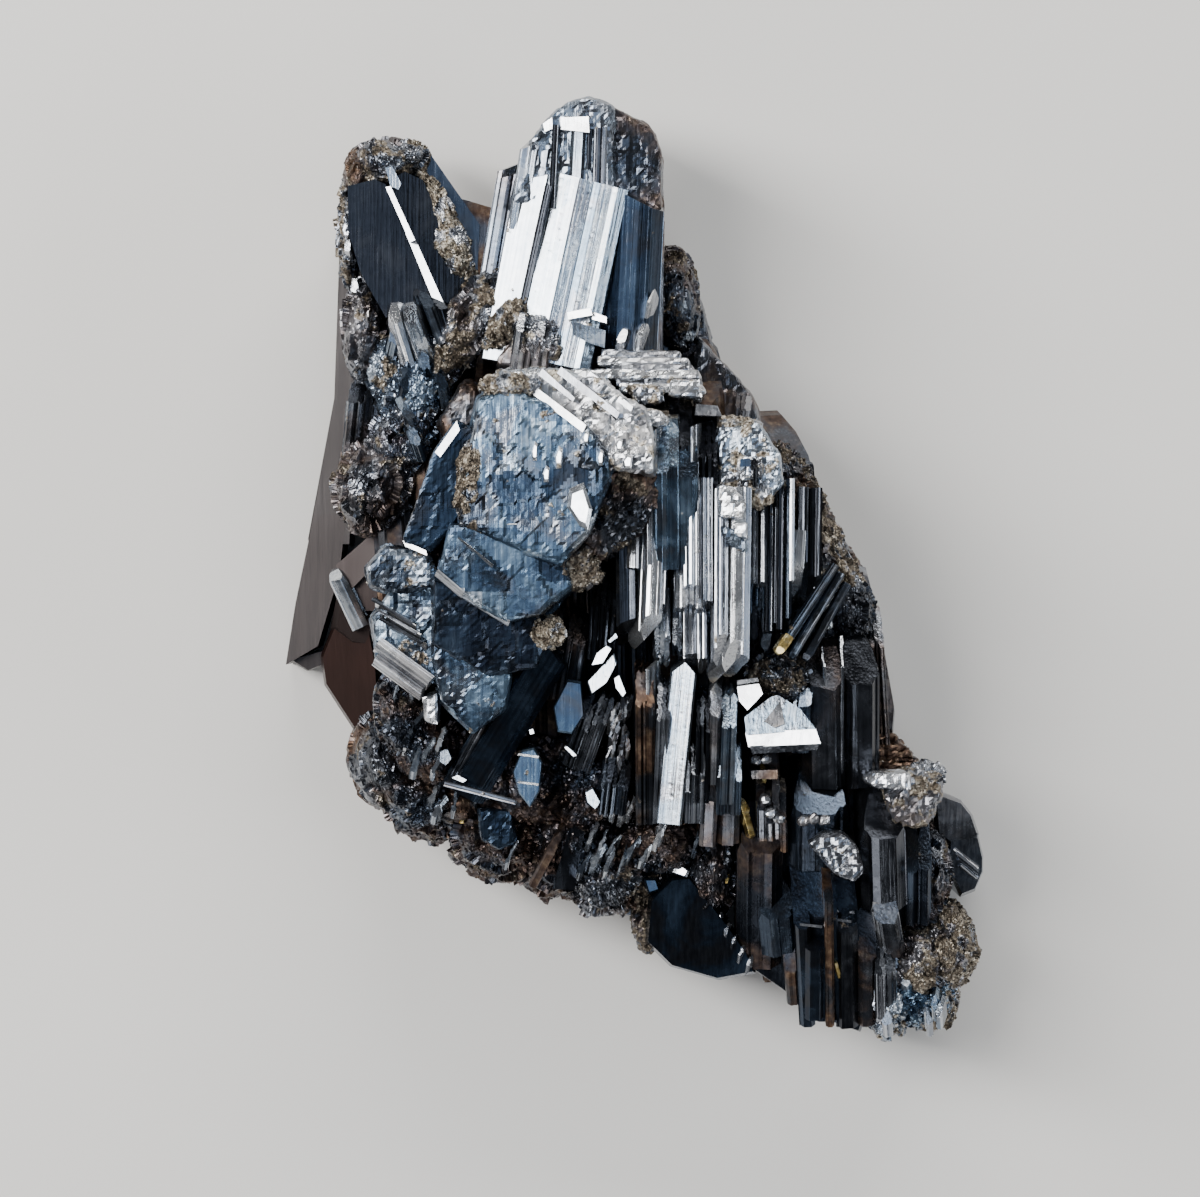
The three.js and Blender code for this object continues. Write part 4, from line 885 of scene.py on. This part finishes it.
# ---------------------------------------------------------------------------------------------------------------
# The prisms that rise to meet the columns from below, the big brushed blade that leans beside them, and the small
# tablets caught between the two.
risers = []
crystal(risers, [3.3, -24.6, 31.4], [4.9, -8.8, 31.0], 2.5, 8, "roof", outline=[(-1.3, -0.9), (-1.15, -0.35), (-0.3, -0.2),
        (1.0, 0.24), (1.25, -0.5)], tone=0.68, navy=0.7, spread=0.03)
staves(risers, [1.0, -24, 26], [0.9, -9.4, 29.6], 1.7, 7, 3, cap="roof", lath=0.35, tone=0.25, stain=0.9)
staves(risers, [2.4, -24, 26.4], [2.9, -10.8, 29.0], 1.3, 7, 3, cap="roof", lath=0.3, tone=0.35)
# A thin crystal painted near white: painted highlight.
crystal(risers, [1.8, -20, 28.0], [1.7, -9.0, 29.8], 0.35, 4, "flat", roll=-18, lath=1, tone=0.9)
staves(risers, [6.6, -22, 26], [6.7, -12.0, 28.4], 1.4, 6, 3, cap="roof", lath=0.3, tone=0.12)
crystal(risers, [7.7, -20, 26.4], [7.9, -10.8, 29.2], 1.2, 6, "roof", lath=0.4, tone=0.5, stain=0.4)
staves(risers, [9.0, -22, 26.4], [9.3, -11.8, 29.2], 1.5, 6, 2, cap="roof", lath=0.6, tone=0.55, navy=0.8)
staves(risers, [9.2, -23, 25.4], [9.3, -15.2, 27.8], 2.4, 6, 5, stagger=0.3, cap="roof", lath=0.4, tone=0.4, navy=0.7)
staves(risers, [5.8, -24, 25.6], [6.0, -16.4, 27.6], 2.0, 6, 4, stagger=0.4, cap="roof", lath=0.4, tone=0.45)
crystal(risers, [7.2, -26, 23], [7.5, -19.4, 26.6], 1.7, 5, "roof", lath=1.5, tone=0.42, stain=0.4)
crystal(risers, [9.2, -26, 23], [9.4, -19.0, 26.0], 2.3, 5, "roof", lath=1.5, tone=0.16, stain=0.8)
crystal(risers, [-16.9, -21.4, 24.6], [-7.9, -6.6, 28.8], 4.6, 5, "slant", lath=1.1, relief=0.06, tilt=3, roll=5,
        tone=0.12, navy=0.9, spread=0.06)
staves(risers, [-17.6, -20.6, 25.0], [-13.8, -13.6, 27.4], 1.6, 4, 4, stagger=0.2, cap="slant", lath=0.4, tone=0.2,
       stain=0.8)
# The tablets: outline, height, lean toward the key panel, tone and navy; the brightest are painted white as highlights
# and the navy is partly painted sky reflection.
TABLETS = [
    ([(-8.0, -13.2), (-6.6, -10.5), (-5.3, -10.7), (-5.0, -14.0), (-6.2, -15.8), (-7.6, -15.6)], 28.6, 0.0, 0.42, 1.0),
    ([(-12.0, -19.5), (-11.1, -17.4), (-9.9, -17.2), (-9.1, -18.6), (-9.4, -21.5), (-10.3, -23.0), (-11.4, -21.6)],
     28.2, 0.04, 0.5, 1.0),
    ([(-4.3, -9.1), (-3.8, -7.9), (-2.8, -7.1), (-2.3, -7.4), (-3.2, -8.9)], 30.6, 0.34, 1.0, 0.0),
    ([(-4.7, -10.7), (-3.4, -9.9), (-2.1, -7.9), (-1.8, -8.9), (-2.8, -10.8), (-4.3, -11.9)], 29.8, 0.2, 0.95, 0.3),
    ([(-2.1, -10.3), (-1.6, -10.0), (-0.9, -11.8), (-1.2, -12.2), (-1.9, -11.3)], 29.6, 0.34, 1.0, 0.0),
    ([(-2.7, -6.7), (-1.9, -5.9), (-1.7, -6.3), (-2.5, -6.9)], 30.2, 0.2, 0.9, 0.4),
    ([(-7.0, -17.1), (-6.7, -17.0), (-5.7, -17.9), (-6.0, -18.1)], 28.0, 0.34, 1.0, 0.0),
    ([(-4.9, -21.6), (-4.2, -21.2), (-3.4, -22.6), (-3.9, -23.3), (-4.7, -22.6)], 26.2, 0.3, 0.9, 0.5),
    ([(-10.4, -15.4), (-10.0, -15.3), (-9.9, -15.8), (-10.3, -15.9)], 27.8, 0.34, 1.0, 0.0),
    ([(-18.1, -20.2), (-17.5, -19.9), (-16.5, -20.4), (-16.9, -20.7)], 25.6, 0.3, 0.9, 0.3),
    ([(-19.2, -17.6), (-18.4, -17.3), (-18.0, -18.3), (-18.6, -19.0), (-19.2, -18.6)], 26.6, 0.1, 0.75, 0.0),
]
for outline, high, lean, tone, navy in TABLETS:
    slab(risers, outline, high + 2.4, high - 6, lean=(lean, -0.3 * lean), crown=0.92, drop=0.2, tone=0.8 * tone,
         navy=0.4 + 0.6 * navy, spread=0.08)
# Two thin bars painted bright: painted highlights.
for y in (-17.9, -20.6):
    slab(risers, [(-11.5, y), (-11.4, y + 0.2), (-9.4, y - 0.05), (-9.5, y - 0.25)], 31.0, 24, lean=(0.3, 0), tone=0.9)
staves(risers, [-5.6, -18.6, 25.0], [-3.2, -11.6, 27.8], 2.9, 5, 6, stagger=0.2, cap="roof", lath=0.3, tone=0.22)
staves(risers, [-7.2, -12.0, 25.6], [-5.8, -3.6, 28.0], 3.0, 5, 5, stagger=0.5, cap="roof", lath=0.4, tone=0.12,
       stain=0.5)
staves(risers, [-3.4, -8.0, 26.4], [-2.8, 0.6, 28.6], 2.6, 5, 5, stagger=0.5, cap="roof", lath=0.4, tone=0.08)
# Small crystals in mixed tones; the palest are painted highlights.
for i in range(16):
    x, y = -2.6 + 1.7 * seed.random(), -18.8 + 6.0 * i / 15
    crystal(risers, [x, y - 1.4, 25.5], [x + 0.3, y + 0.6, 27.6 + seed.random()], seed.uniform(0.3, 0.6), 2, "roof",
            roll=seed.uniform(-30, 10), lath=0.5, tone=seed.choice((0.9, 0.6, 1.0, 0.3)), stain=0.2)
staves(risers, [-2.2, -23.0, 25.0], [-1.6, -17.8, 27.4], 2.7, 5, 5, stagger=0.2, cap="roof", lath=0.3, tone=0.15,
       navy=0.4)
# Small crystals painted white: painted highlights.
for x, y in ((-2.7, -22.6), (-2.0, -23.2), (-1.2, -23.6), (-0.5, -23.2), (-1.7, -22.4), (2.2, -23.2), (3.0, -22.4),
             (3.8, -21.6), (2.6, -24.4), (2.3, -26.0), (4.4, -20.8), (3.2, -23.4)):
    crystal(risers, [x, y - 0.8, 24.6], [x + 0.2, y + 0.4, 27.2], seed.uniform(0.4, 0.75), 2, "roof",
            roll=seed.uniform(-26, -8), lath=0.5, tone=1.0)
crystal(risers, [-18.8, -20.8, 27.6], [-11.6, -22.7, 27.4], 0.5, 0.8, "dome", roll=-14, lath=0.3, tone=0.75, stain=0.5)
riser_prisms = weld("riser_prisms", risers, bright_finish)

# ---------------------------------------------------------------------------------------------------------------
# The mass of small dark crystals and brown ore that fills the lower left, down to its rounded rim.
rubble = []
DARK = {"tone": 0.1, "stain": 0.6, "navy": 0.35, "spread": 0.2}
lump(rubble, [-23.4, -14.4, 21.0], [2.4, 4.6, 7.0], 10, rough=0.5, cell=1.2, crumb=0.3, **DARK)
lump(rubble, [-20.4, -17.6, 21.0], [3.6, 3.4, 5.6], rough=0.5, cell=1.3, crumb=0.27, **DARK)
lump(rubble, [-25.0, -19.0, 12.4], [3.6, 5.2, 10.0], 14, rough=0.45, cell=1.6, crumb=0.18, tone=0.25, stain=0.9)
lump(rubble, [-23.2, -21.6, 17.2], [2.4, 2.6, 4.4], rough=0.3, cell=2.2, crumb=0.15, tone=0.1, stain=1.0)
lump(rubble, [-17.6, -23.0, 18.6], [2.6, 2.0, 5.0], rough=0.3, cell=2.0, crumb=0.18, tone=0.12, stain=0.8)
lump(rubble, [-20.6, -22.6, 12.8], [4.8, 4.4, 10.0], -20, rough=0.6, cell=1.3, crumb=0.24, **DARK)
lump(rubble, [-13.4, -26.2, 13.0], [5.4, 4.9, 10.4], -14, rough=0.6, cell=1.4, crumb=0.24, **DARK)
lump(rubble, [-7.4, -27.6, 12.8], [4.4, 5.2, 9.8], -20, rough=0.6, cell=1.4, crumb=0.21, **DARK)
lump(rubble, [-2.8, -29.6, 12.4], [4.2, 5.0, 9.6], -10, rough=0.6, cell=1.2, crumb=0.36, tone=0.3, stain=1.0,
     spread=0.25)
lump(rubble, [-11.6, -20.2, 20.4], [6.4, 4.6, 5.2], -20, rough=0.5, cell=1.5, crumb=0.18, **DARK)
lump(rubble, [-4.6, -20.6, 20.0], [4.4, 5.4, 5.6], rough=0.5, cell=1.2, crumb=0.21, **DARK)
lump(rubble, [2.6, -26.2, 18.6], [4.0, 3.6, 5.4], rough=0.5, cell=1.2, crumb=0.24, **DARK)
lump(rubble, [7.4, -28.6, 14.6], [3.4, 6.6, 6.0], rough=0.5, cell=1.4, crumb=0.12, tone=0.1, stain=0.8)
slab(rubble, [(-15.6, -23.4), (-12.2, -23.4), (-11.6, -26.8), (-13.4, -27.6), (-15.4, -26.4)], 24.6, 12,
     lean=(-0.1, 0.1), crown=0.9, drop=0.5, rough=0.1, tone=0.1, navy=1.0)
slab(rubble, [(-8.2, -31.4), (-6.0, -31.6), (-4.8, -24.6), (-6.0, -23.6)], 22.4, 8, lean=(-0.3, 0), tone=0.05)
crystal(rubble, [-9.8, -30.4, 20.6], [-7.4, -25.8, 23.6], 0.9, 4, "roof", lath=0.4, tone=0.3, stain=0.8)
slab(rubble, [(-3.0, -32.8), (-0.4, -32.8), (-0.2, -34.8), (-1.8, -34.6)], 12.4, 0, flare=1.0, crown=0.9, drop=0.4,
     tone=0.5, stain=0.3)
# Small crystals painted pale among the dark rubble: painted highlights standing in for glints.
for x, y, tone in ((-22.0, -11.4, 1.0), (-22.6, -16.2, 0.9), (-20.6, -17.6, 0.9), (-19.6, -18.8, 0.9),
                   (-20.0, -21.8, 0.8), (-19.6, -23.4, 0.6), (-21.8, -18.6, 0.5), (-24.0, -12.6, 0.7),
                   (-21.2, -14.2, 0.5), (-19.4, -16.6, 0.9), (-18.0, -22.6, 0.4), (-15.8, -21.8, 0.5),
                   (-12.4, -27.8, 0.7), (-4.4, -26.0, 0.95), (-3.4, -26.8, 0.7), (-2.7, -28.6, 1.0),
                   (-2.4, -27.2, 0.6), (-1.4, -28.4, 0.6), (-5.2, -29.0, 0.5), (-3.8, -28.2, 0.7),
                   (-0.4, -27.4, 0.5), (1.0, -27.8, 0.8), (6.0, -26.6, 0.5)):
    high = 26.6 if y > -20 else 23.4
    crystal(rubble, [x, y - 0.9, high - 2], [x + 0.3, y + 0.4, high + 0.6], seed.uniform(0.35, 0.8), 2.4, "roof",
            roll=seed.uniform(-28, 0), lath=0.5, tone=tone, navy=0.4)
lower_left = weld("lower_left_rubble", rubble, dark_finish)
sprinkle("rubble_crumbs", lower_left, finish=dark_crumbs, number=71, **CRUMB)
sprinkle("rubble_sprouts", lower_left, finish=dark_finish, number=75, **{**SPROUT, "per_mm2": 0.35})

# ---------------------------------------------------------------------------------------------------------------
# The right wall: a bright wedge-shaped crystal, the big dark veined prisms behind it, the smooth outer blade, layered
# brown ledges and the tan granular crust that runs up the edge. The wedge's white faces are painted highlights and its
# navy is partly painted sky reflection.
wall = []
# The wedge: faces tilted toward the key panel and painted near white are painted highlights.
slab(wall, [(14.0, -12.0), (13.3, -12.2), (10.7, -14.2), (10.9, -15.9), (17.7, -15.4), (16.2, -13.4)], 30.4, 18,
     lean=(0.2, -0.2), flare=1.02, tone=0.6, navy=0.8, spread=0.03)
slab(wall, [(10.8, -15.7), (11.1, -17.1), (18.1, -16.7), (17.6, -15.3)], 30.9, 18, lean=(0.3, -0.1), flare=1.0, tone=1.0,
     spread=0.03)
slab(wall, [(11.2, -17.0), (11.5, -17.8), (17.8, -17.4), (18.1, -16.6)], 30.3, 18, lean=(0.0, 0.7), flare=1.0, tone=0.3)
slab(wall, [(12.6, -14.6), (14.2, -12.6), (14.6, -14.8), (13.6, -15.2)], 30.7, 24, lean=(0.12, -0.28), tone=0.8,
     stain=0.5)
slab(wall, [(10.0, -11.2), (12.1, -10.9), (12.5, -11.9), (11.0, -13.5), (10.2, -12.6)], 30.0, 20, lean=(0.33, -0.1),
     tone=1.0, spread=0.02)
slab(wall, [(10.0, -10.6), (12.0, -10.3), (12.1, -10.7), (10.0, -11.0)], 29.8, 20, lean=(0.1, -0.4), tone=0.7)
lump(wall, [14.6, -10.4, 24.6], [3.6, 2.4, 4.2], -14, rough=0.45, cell=1.0, tone=0.3, stain=0.9, crumb=0.7)
staves(wall, [16.4, -17.0, 24.4], [16.6, -10.6, 26.8], 1.8, 5, 3, cap="dome", lath=0.6, tone=0.3, navy=0.6)
crystal(wall, [19.2, -20, 20.0], [18.8, -6.8, 24.0], 4.6, 10, "dome", roll=-6, lath=1.0, relief=0.18, tone=0.14,
        spread=0.12, stain=0.3)
crystal(wall, [21.8, -20, 18.6], [21.6, -5.8, 22.4], 4.0, 11, "dome", roll=8, lath=1.8, relief=0.14, tone=0.06,
        spread=0.06)
crystal(wall, [20.5, -19, 22.0], [20.4, -6.2, 26.0], 0.35, 6, "dome", lath=0.3, tone=0.5)
crystal(wall, [18.8, -12, 25.4], [18.4, -7.2, 27.2], 0.25, 4, "dome", lath=0.3, tone=0.5)
lump(wall, [21.4, -3.8, 20.8], [2.4, 3.0, 4.2], rough=0.5, cell=0.9, tone=0.08, crumb=0.3)
slab(wall, [(23.4, 0.6), (24.6, -4.0), (25.4, -9.0), (26.4, -14.0), (26.2, -16.6), (24.0, -16.0), (23.4, -8.0),
            (22.0, 1.0)], 16.4, 0, lean=(-0.3, 0), crown=0.9, drop=2.0, flare=1.0, tone=0.42, stain=0.5, spread=0.05)
staves(wall, [24.6, -16.4, 15.0], [23.6, -3.0, 18.6], 1.9, 8, 4, cap="dome", lath=0.5, relief=0.1, tone=0.35,
       stain=0.6)
for i in range(7):
    y = -15.8 - 0.55 * i
    slab(wall, [(22.6 + 0.15 * i, y), (26.4 + 0.5 * i, y - 0.5), (26.6 + 0.5 * i, y - 1.1), (22.6 + 0.2 * i, y - 0.8)],
         18.6 + seed.uniform(-0.5, 0.7), 4, lean=(-0.1, -0.3), flare=1.0, rough=0.2, cell=0.8, tone=0.35, stain=0.9,
         crumb=0.55)
lump(wall, [17.4, 4.4, 19.0], [2.6, 7.8, 5.8], 24, rough=0.5, cell=0.9, tone=0.3, stain=0.6, crumb=0.8)
lump(wall, [15.6, 9.0, 18.0], [2.2, 4.4, 5.6], 30, rough=0.5, cell=0.9, tone=0.12, stain=0.8, crumb=0.6)
lump(wall, [20.4, -0.4, 19.0], [1.9, 4.4, 5.0], 30, rough=0.45, cell=0.9, tone=0.4, stain=0.7, crumb=0.8)
slab(wall, [(18.0, 7.6), (20.1, 4.8), (20.5, 3.4), (23.2, 0.4), (21.0, -2.0), (16.0, 5.0)], 13.0, 0, lean=(-0.2, -0.1),
     crown=0.85, drop=1.6, flare=1.0, rough=0.3, tone=0.35, stain=0.8, crumb=0.6)
slab(wall, [(12.6, 15.2), (13.6, 13.4), (15.1, 12.0), (17.6, 9.6), (18.8, 7.0), (15.0, 5.0), (10.0, 12.0)], 14.4, 0,
     lean=(-0.2, -0.1), crown=0.85, drop=1.6, flare=1.0, rough=0.3, tone=0.2, stain=0.8, crumb=0.6)
slab(wall, [(2.6, 32.9), (4.6, 32.7), (5.8, 30.4), (6.8, 27.6), (8.6, 21.6), (6.0, 16.0), (1.0, 24.0)], 13.0, 0,
     lean=(-0.1, 0), crown=0.88, drop=1.4, flare=1.0, tone=0.35, stain=0.3, navy=0.4, rough=0.12, cell=2.4)
slab(wall, [(8.4, 21.6), (10.4, 19.8), (11.8, 18.2), (12.5, 16.6), (12.8, 14.8), (9.0, 12.0), (5.6, 20.0), (6.4, 24.0)],
     17.6, 0, lean=(-0.2, -0.1), crown=0.86, drop=1.8, flare=1.0, tone=0.35, stain=0.7, rough=0.1, cell=2.4)
staves(wall, [10.4, 12.0, 17.8], [11.0, 18.0, 18.4], 1.6, 4, 3, cap="dome", lath=0.6, tone=0.45, stain=0.3)
right_wall = weld("right_wall", wall, dark_finish)
sprinkle("wall_crumbs", right_wall, finish=tan_crumbs, number=81, **CRUMB)

# ---------------------------------------------------------------------------------------------------------------
# The lower right corner: stubby dark prisms with worn ends and red-brown stripes, a navy plate at their left, a
# glossy ear at the right and a mass of tan and bluish granules at the bottom. The red-brown is partly stain and partly
# painted warm reflection, the navy partly painted sky reflection, and the white facets and specks painted highlights.
corner = []
slab(corner, [(1.4, -32.6), (3.6, -30.4), (5.4, -30.2), (9.4, -35.2), (11.6, -38.4), (12.3, -40.3), (8.5, -41.0),
              (3.6, -39.6), (1.0, -37.0)], 18.6, 2, lean=(-0.02, 0.16), flare=1.0, crown=0.93, drop=1.6, tone=0.12, navy=1.0,
     spread=0.05)
slab(corner, [(0.0, -30.8), (2.4, -29.4), (3.4, -31.4), (1.8, -34.6), (1.6, -38.6), (0.2, -37.0), (0.0, -34.0)], 17.0, 0,
     flare=1.0, crown=0.86, drop=1.6, rough=0.4, cell=1.0, tone=0.25, stain=0.9, crumb=0.75)
# A long facet painted white: painted highlight.
slab(corner, [(2.1, -28.5), (4.4, -29.0), (5.5, -29.8), (5.2, -30.4), (3.6, -29.9)], 20.6, 10, lean=(0.3, -0.2),
     crown=0.8, drop=0.3, tone=1.0, navy=0.3)
slab(corner, [(0.9, -30.6), (2.2, -30.6), (2.6, -31.8), (1.4, -32.2)], 19.0, 10, crown=0.7, drop=0.4, tone=0.35, navy=1.0)
# Small crystals along the navy plate's edge, painted pale: painted highlights.
for i in range(9):
    x, y = 5.4 + 0.75 * i, -30.6 - 1.1 * i
    crystal(corner, [x, y - 0.6, 17.6], [x + 0.2, y + 0.7, 18.6], seed.uniform(0.3, 0.6), 1.2, "roof", roll=-18, lath=1,
            tone=seed.uniform(0.5, 1.0))
crystal(corner, [18.2, -27.4, 18], [18.0, -18.5, 22.0], 6.4, 11, "dome", lath=1.6, relief=0.2, tone=0.1, navy=0.6,
        spread=0.1, crust=0.8)
for x, y in ((12.0, -18.4), (12.9, -18.3), (12.8, -22.2), (13.4, -23.6), (14.2, -24.2), (16.6, -24.4), (17.6, -24.2),
             (18.6, -24.3)):
    slab(corner, [(x - 0.6, y), (x, y + 0.5), (x + 0.6, y + 0.2), (x + 0.5, y - 0.6), (x - 0.4, y - 0.6)], 27.6, 18,
         lean=(0.25, -0.2), crown=0.7, drop=0.3, rough=0.1, cell=0.6, tone=0.85, stain=0.4)
slab(corner, [(11.4, -19.5), (14.0, -19.4), (14.0, -20.3), (11.5, -20.3)], 28.0, 18, lean=(0.2, -0.3), tone=0.5,
     stain=0.9)
staves(corner, [13.6, -26, 21], [13.4, -19.6, 24.6], 3.0, 7, 4, stagger=0.3, cap="dome", lath=0.6, tone=0.35, stain=0.9,
       crust=1.2)
crystal(corner, [12.5, -37.2, 12.8], [12.4, -22.0, 22.4], 4.6, 10, "dome", lath=1.6, relief=0.1, tone=0.06, stain=0.5,
        navy=0.4, spread=0.06)
crystal(corner, [14.0, -36, 15], [13.2, -29.4, 19.4], 4.0, 9, "dome", roll=8, lath=1.6, relief=0.2, tone=0.25,
        navy=0.6, spread=0.12)
slab(corner, [(17.0, -26.6), (18.4, -25.6), (20.4, -25.5), (21.8, -26.8), (22.6, -29.4), (21.6, -30.4), (19.8, -29.8)],
     28.4, 14, lean=(0.1, -0.24), crown=0.94, drop=0.4, flare=1.0, rough=0.08, tone=0.5, stain=0.3, crumb=0.35)
staves(corner, [19.6, -42.4, 11.8], [18.4, -27.4, 22.4], 6.2, 11, 4, stagger=0.03, cap="roof", lath=1.5, relief=0.08,
       tilt=5, tone=0.06, navy=0.8, spread=0.05)
# Red-brown stripes: partly stain and partly painted warm reflection.
crystal(corner, [19.6, -43.0, 13.2], [19.0, -29.6, 23.4], 0.9, 9, "flat", lath=0.4, relief=0.05, tone=0.1, stain=1.4)
crystal(corner, [23.4, -43.0, 12.6], [23.0, -32.6, 20.4], 1.9, 9, "roof", lath=0.9, relief=0.05, tone=0.08, stain=1.2)
crystal(corner, [15.8, -40.6, 12.4], [15.1, -34.0, 18.4], 1.3, 9, "roof", lath=0.9, relief=0.05, tone=0.08, stain=1.2)
crystal(corner, [21.4, -43.4, 12.4], [20.8, -30.2, 21.6], 2.3, 9, "roof", lath=0.8, relief=0.12, tone=0.06, spread=0.05)
crystal(corner, [18.2, -42.6, 14.4], [18.0, -34.9, 20.4], 2.0, 8, "flat", roll=-2, lath=2, tone=0.16, navy=0.9)
# Thin lines painted pale: painted highlights.
for x0, x1, y in ((16.4, 18.6, -34.9), (19.8, 21.8, -33.5), (19.9, 21.5, -34.4)):
    slab(corner, [(x0, y + 0.1), (x1, y - 0.1), (x1, y - 0.35), (x0, y - 0.15)], 23.6, 14, lean=(0.05, -0.35), tone=0.7)
slab(corner, [(17.6, -41.0), (24.6, -41.6), (24.4, -43.0), (17.8, -44.0), (16.8, -43.0)], 17.0, 0, lean=(0.02, 0.4),
     flare=1.0, tone=0.3, stain=0.5)
slab(corner, [(12.0, -40.0), (15.0, -41.6), (17.8, -43.8), (19.4, -45.3), (23.0, -46.6), (24.6, -42.4), (16.0, -36.0)],
     14.4, 0, lean=(0.0, 0.3), flare=1.0, crown=0.94, drop=1.2, tone=0.1, navy=0.4, spread=0.08)
slab(corner, [(17.9, -43.9), (24.6, -42.2), (24.6, -42.5), (18.1, -44.3)], 16.0, 6, lean=(0, -0.3), tone=0.75)
crystal(corner, [24.8, -31.4, 18.4], [24.2, -21.0, 23.8], 4.6, 10, "dome", lath=1.4, relief=0.16, tone=0.08,
        spread=0.08)
staves(corner, [27.2, -33.0, 16.4], [27.0, -24.0, 21.8], 4.6, 10, 3, cap="dome", lath=1.0, relief=0.18, tone=0.12,
       navy=0.6)
# A face tilted toward the key panel and painted white: painted highlight.
slab(corner, [(22.4, -20.2), (23.4, -19.7), (27.0, -19.6), (27.0, -21.3), (23.6, -21.2)], 29.4, 14, lean=(0.28, -0.2),
     crown=0.9, drop=0.4, flare=1.0, rough=0.1, tone=1.0, stain=0.15, crumb=0.2)
slab(corner, [(24.4, -21.2), (27.0, -19.4), (29.9, -20.0), (30.2, -22.0), (28.8, -24.8), (25.6, -24.6)], 27.6, 8,
     lean=(-0.1, -0.1), crown=0.9, drop=0.8, flare=1.0, rough=0.3, cell=1.0, tone=0.45, stain=0.5, crumb=0.6)
lump(corner, [28.8, -20.4, 21.6], [1.9, 1.5, 5.0], rough=0.35, cell=0.8, tone=0.5, crumb=0.4)
crystal(corner, [25.4, -36.0, 17.6], [24.2, -30.2, 22.6], 2.6, 8, "dome", lath=0.7, tone=0.4, stain=0.5, crust=2.0)
staves(corner, [25.2, -42.6, 15.6], [24.8, -34.6, 20.4], 2.2, 8, 4, stagger=0.3, cap="dome", lath=0.5, tone=0.4)
slab(corner, [(30.0, -21.8), (31.2, -22.6), (33.0, -22.9), (34.2, -24.4), (34.9, -26.4), (33.0, -28.4), (30.4, -26.4)],
     16.4, 0, lean=(-0.2, 0.1), crown=0.84, drop=1.6, flare=0.96, tone=0.4, stain=0.2, spread=0.06)
slab(corner, [(31.6, -26.6), (34.7, -26.2), (35.3, -28.6), (35.3, -30.2), (34.5, -32.2), (33.0, -32.8), (31.4, -29.4)],
     16.0, 0, lean=(-0.15, 0.25), crown=0.86, drop=1.6, flare=0.96, tone=0.45, navy=0.3, spread=0.06)
# Slivers on the ear, the first two painted near white: painted highlights.
for i in range(4):
    crystal(corner, [31.8 + 0.2 * i, -27.8 - 0.55 * i, 15.6], [35.0 - 0.1 * i, -30.3 - 0.35 * i, 14.6], 0.45, 2.4,
            "dome", roll=-20, lath=0.3, tone=0.95 if i < 2 else 0.5)
lump(corner, [29.6, -29.6, 14.6], [2.2, 4.2, 6.4], rough=0.5, cell=1.1, tone=0.25, stain=0.6, crumb=0.5)
lump(corner, [28.2, -33.6, 14.4], [2.8, 3.2, 5.6], rough=0.5, cell=1.1, tone=0.2, navy=0.4, stain=0.3, crumb=0.4)
lump(corner, [31.2, -37.6, 11.4], [3.4, 4.6, 9.0], 4, rough=0.5, cell=1.0, tone=0.42, stain=0.3, crumb=0.85)
lump(corner, [28.6, -39.0, 13.0], [4.0, 4.4, 8.0], rough=0.5, cell=1.1, tone=0.42, stain=0.3, crumb=0.75)
lump(corner, [28.6, -42.4, 12.0], [3.6, 3.4, 7.4], rough=0.5, cell=0.9, tone=0.4, navy=1.0, crumb=0.45)
lump(corner, [25.8, -43.0, 11.8], [2.4, 3.9, 7.4], rough=0.5, cell=0.9, tone=0.6, navy=0.4, crumb=0.5)
lump(corner, [30.2, -43.4, 10.0], [2.6, 2.9, 7.4], rough=0.4, cell=0.9, tone=0.42, stain=0.4, crumb=0.85)
# Small crystals painted pale among the granules: painted highlights. Their navy is partly painted sky reflection.
for x, y, navy in ((30.4, -43.0, 0.9), (30.9, -43.8, 0.7), (29.6, -44.6, 0.2), (27.6, -40.6, 0.8), (26.4, -39.2, 0.2),
                   (25.6, -44.6, 0.2), (24.8, -41.8, 0.1), (25.9, -37.4, 0.1)):
    crystal(corner, [x, y - 1.2, 17.4], [x - 0.3, y + 0.8, 19.6], seed.uniform(0.6, 1.1), 2.2, "roof",
            roll=seed.uniform(-25, 5), lath=0.6, tone=0.8, navy=navy)
corner_prisms = weld("corner_prisms", corner, dark_finish)
sprinkle("corner_crumbs", corner_prisms, finish=tan_crumbs, number=91, **CRUMB)
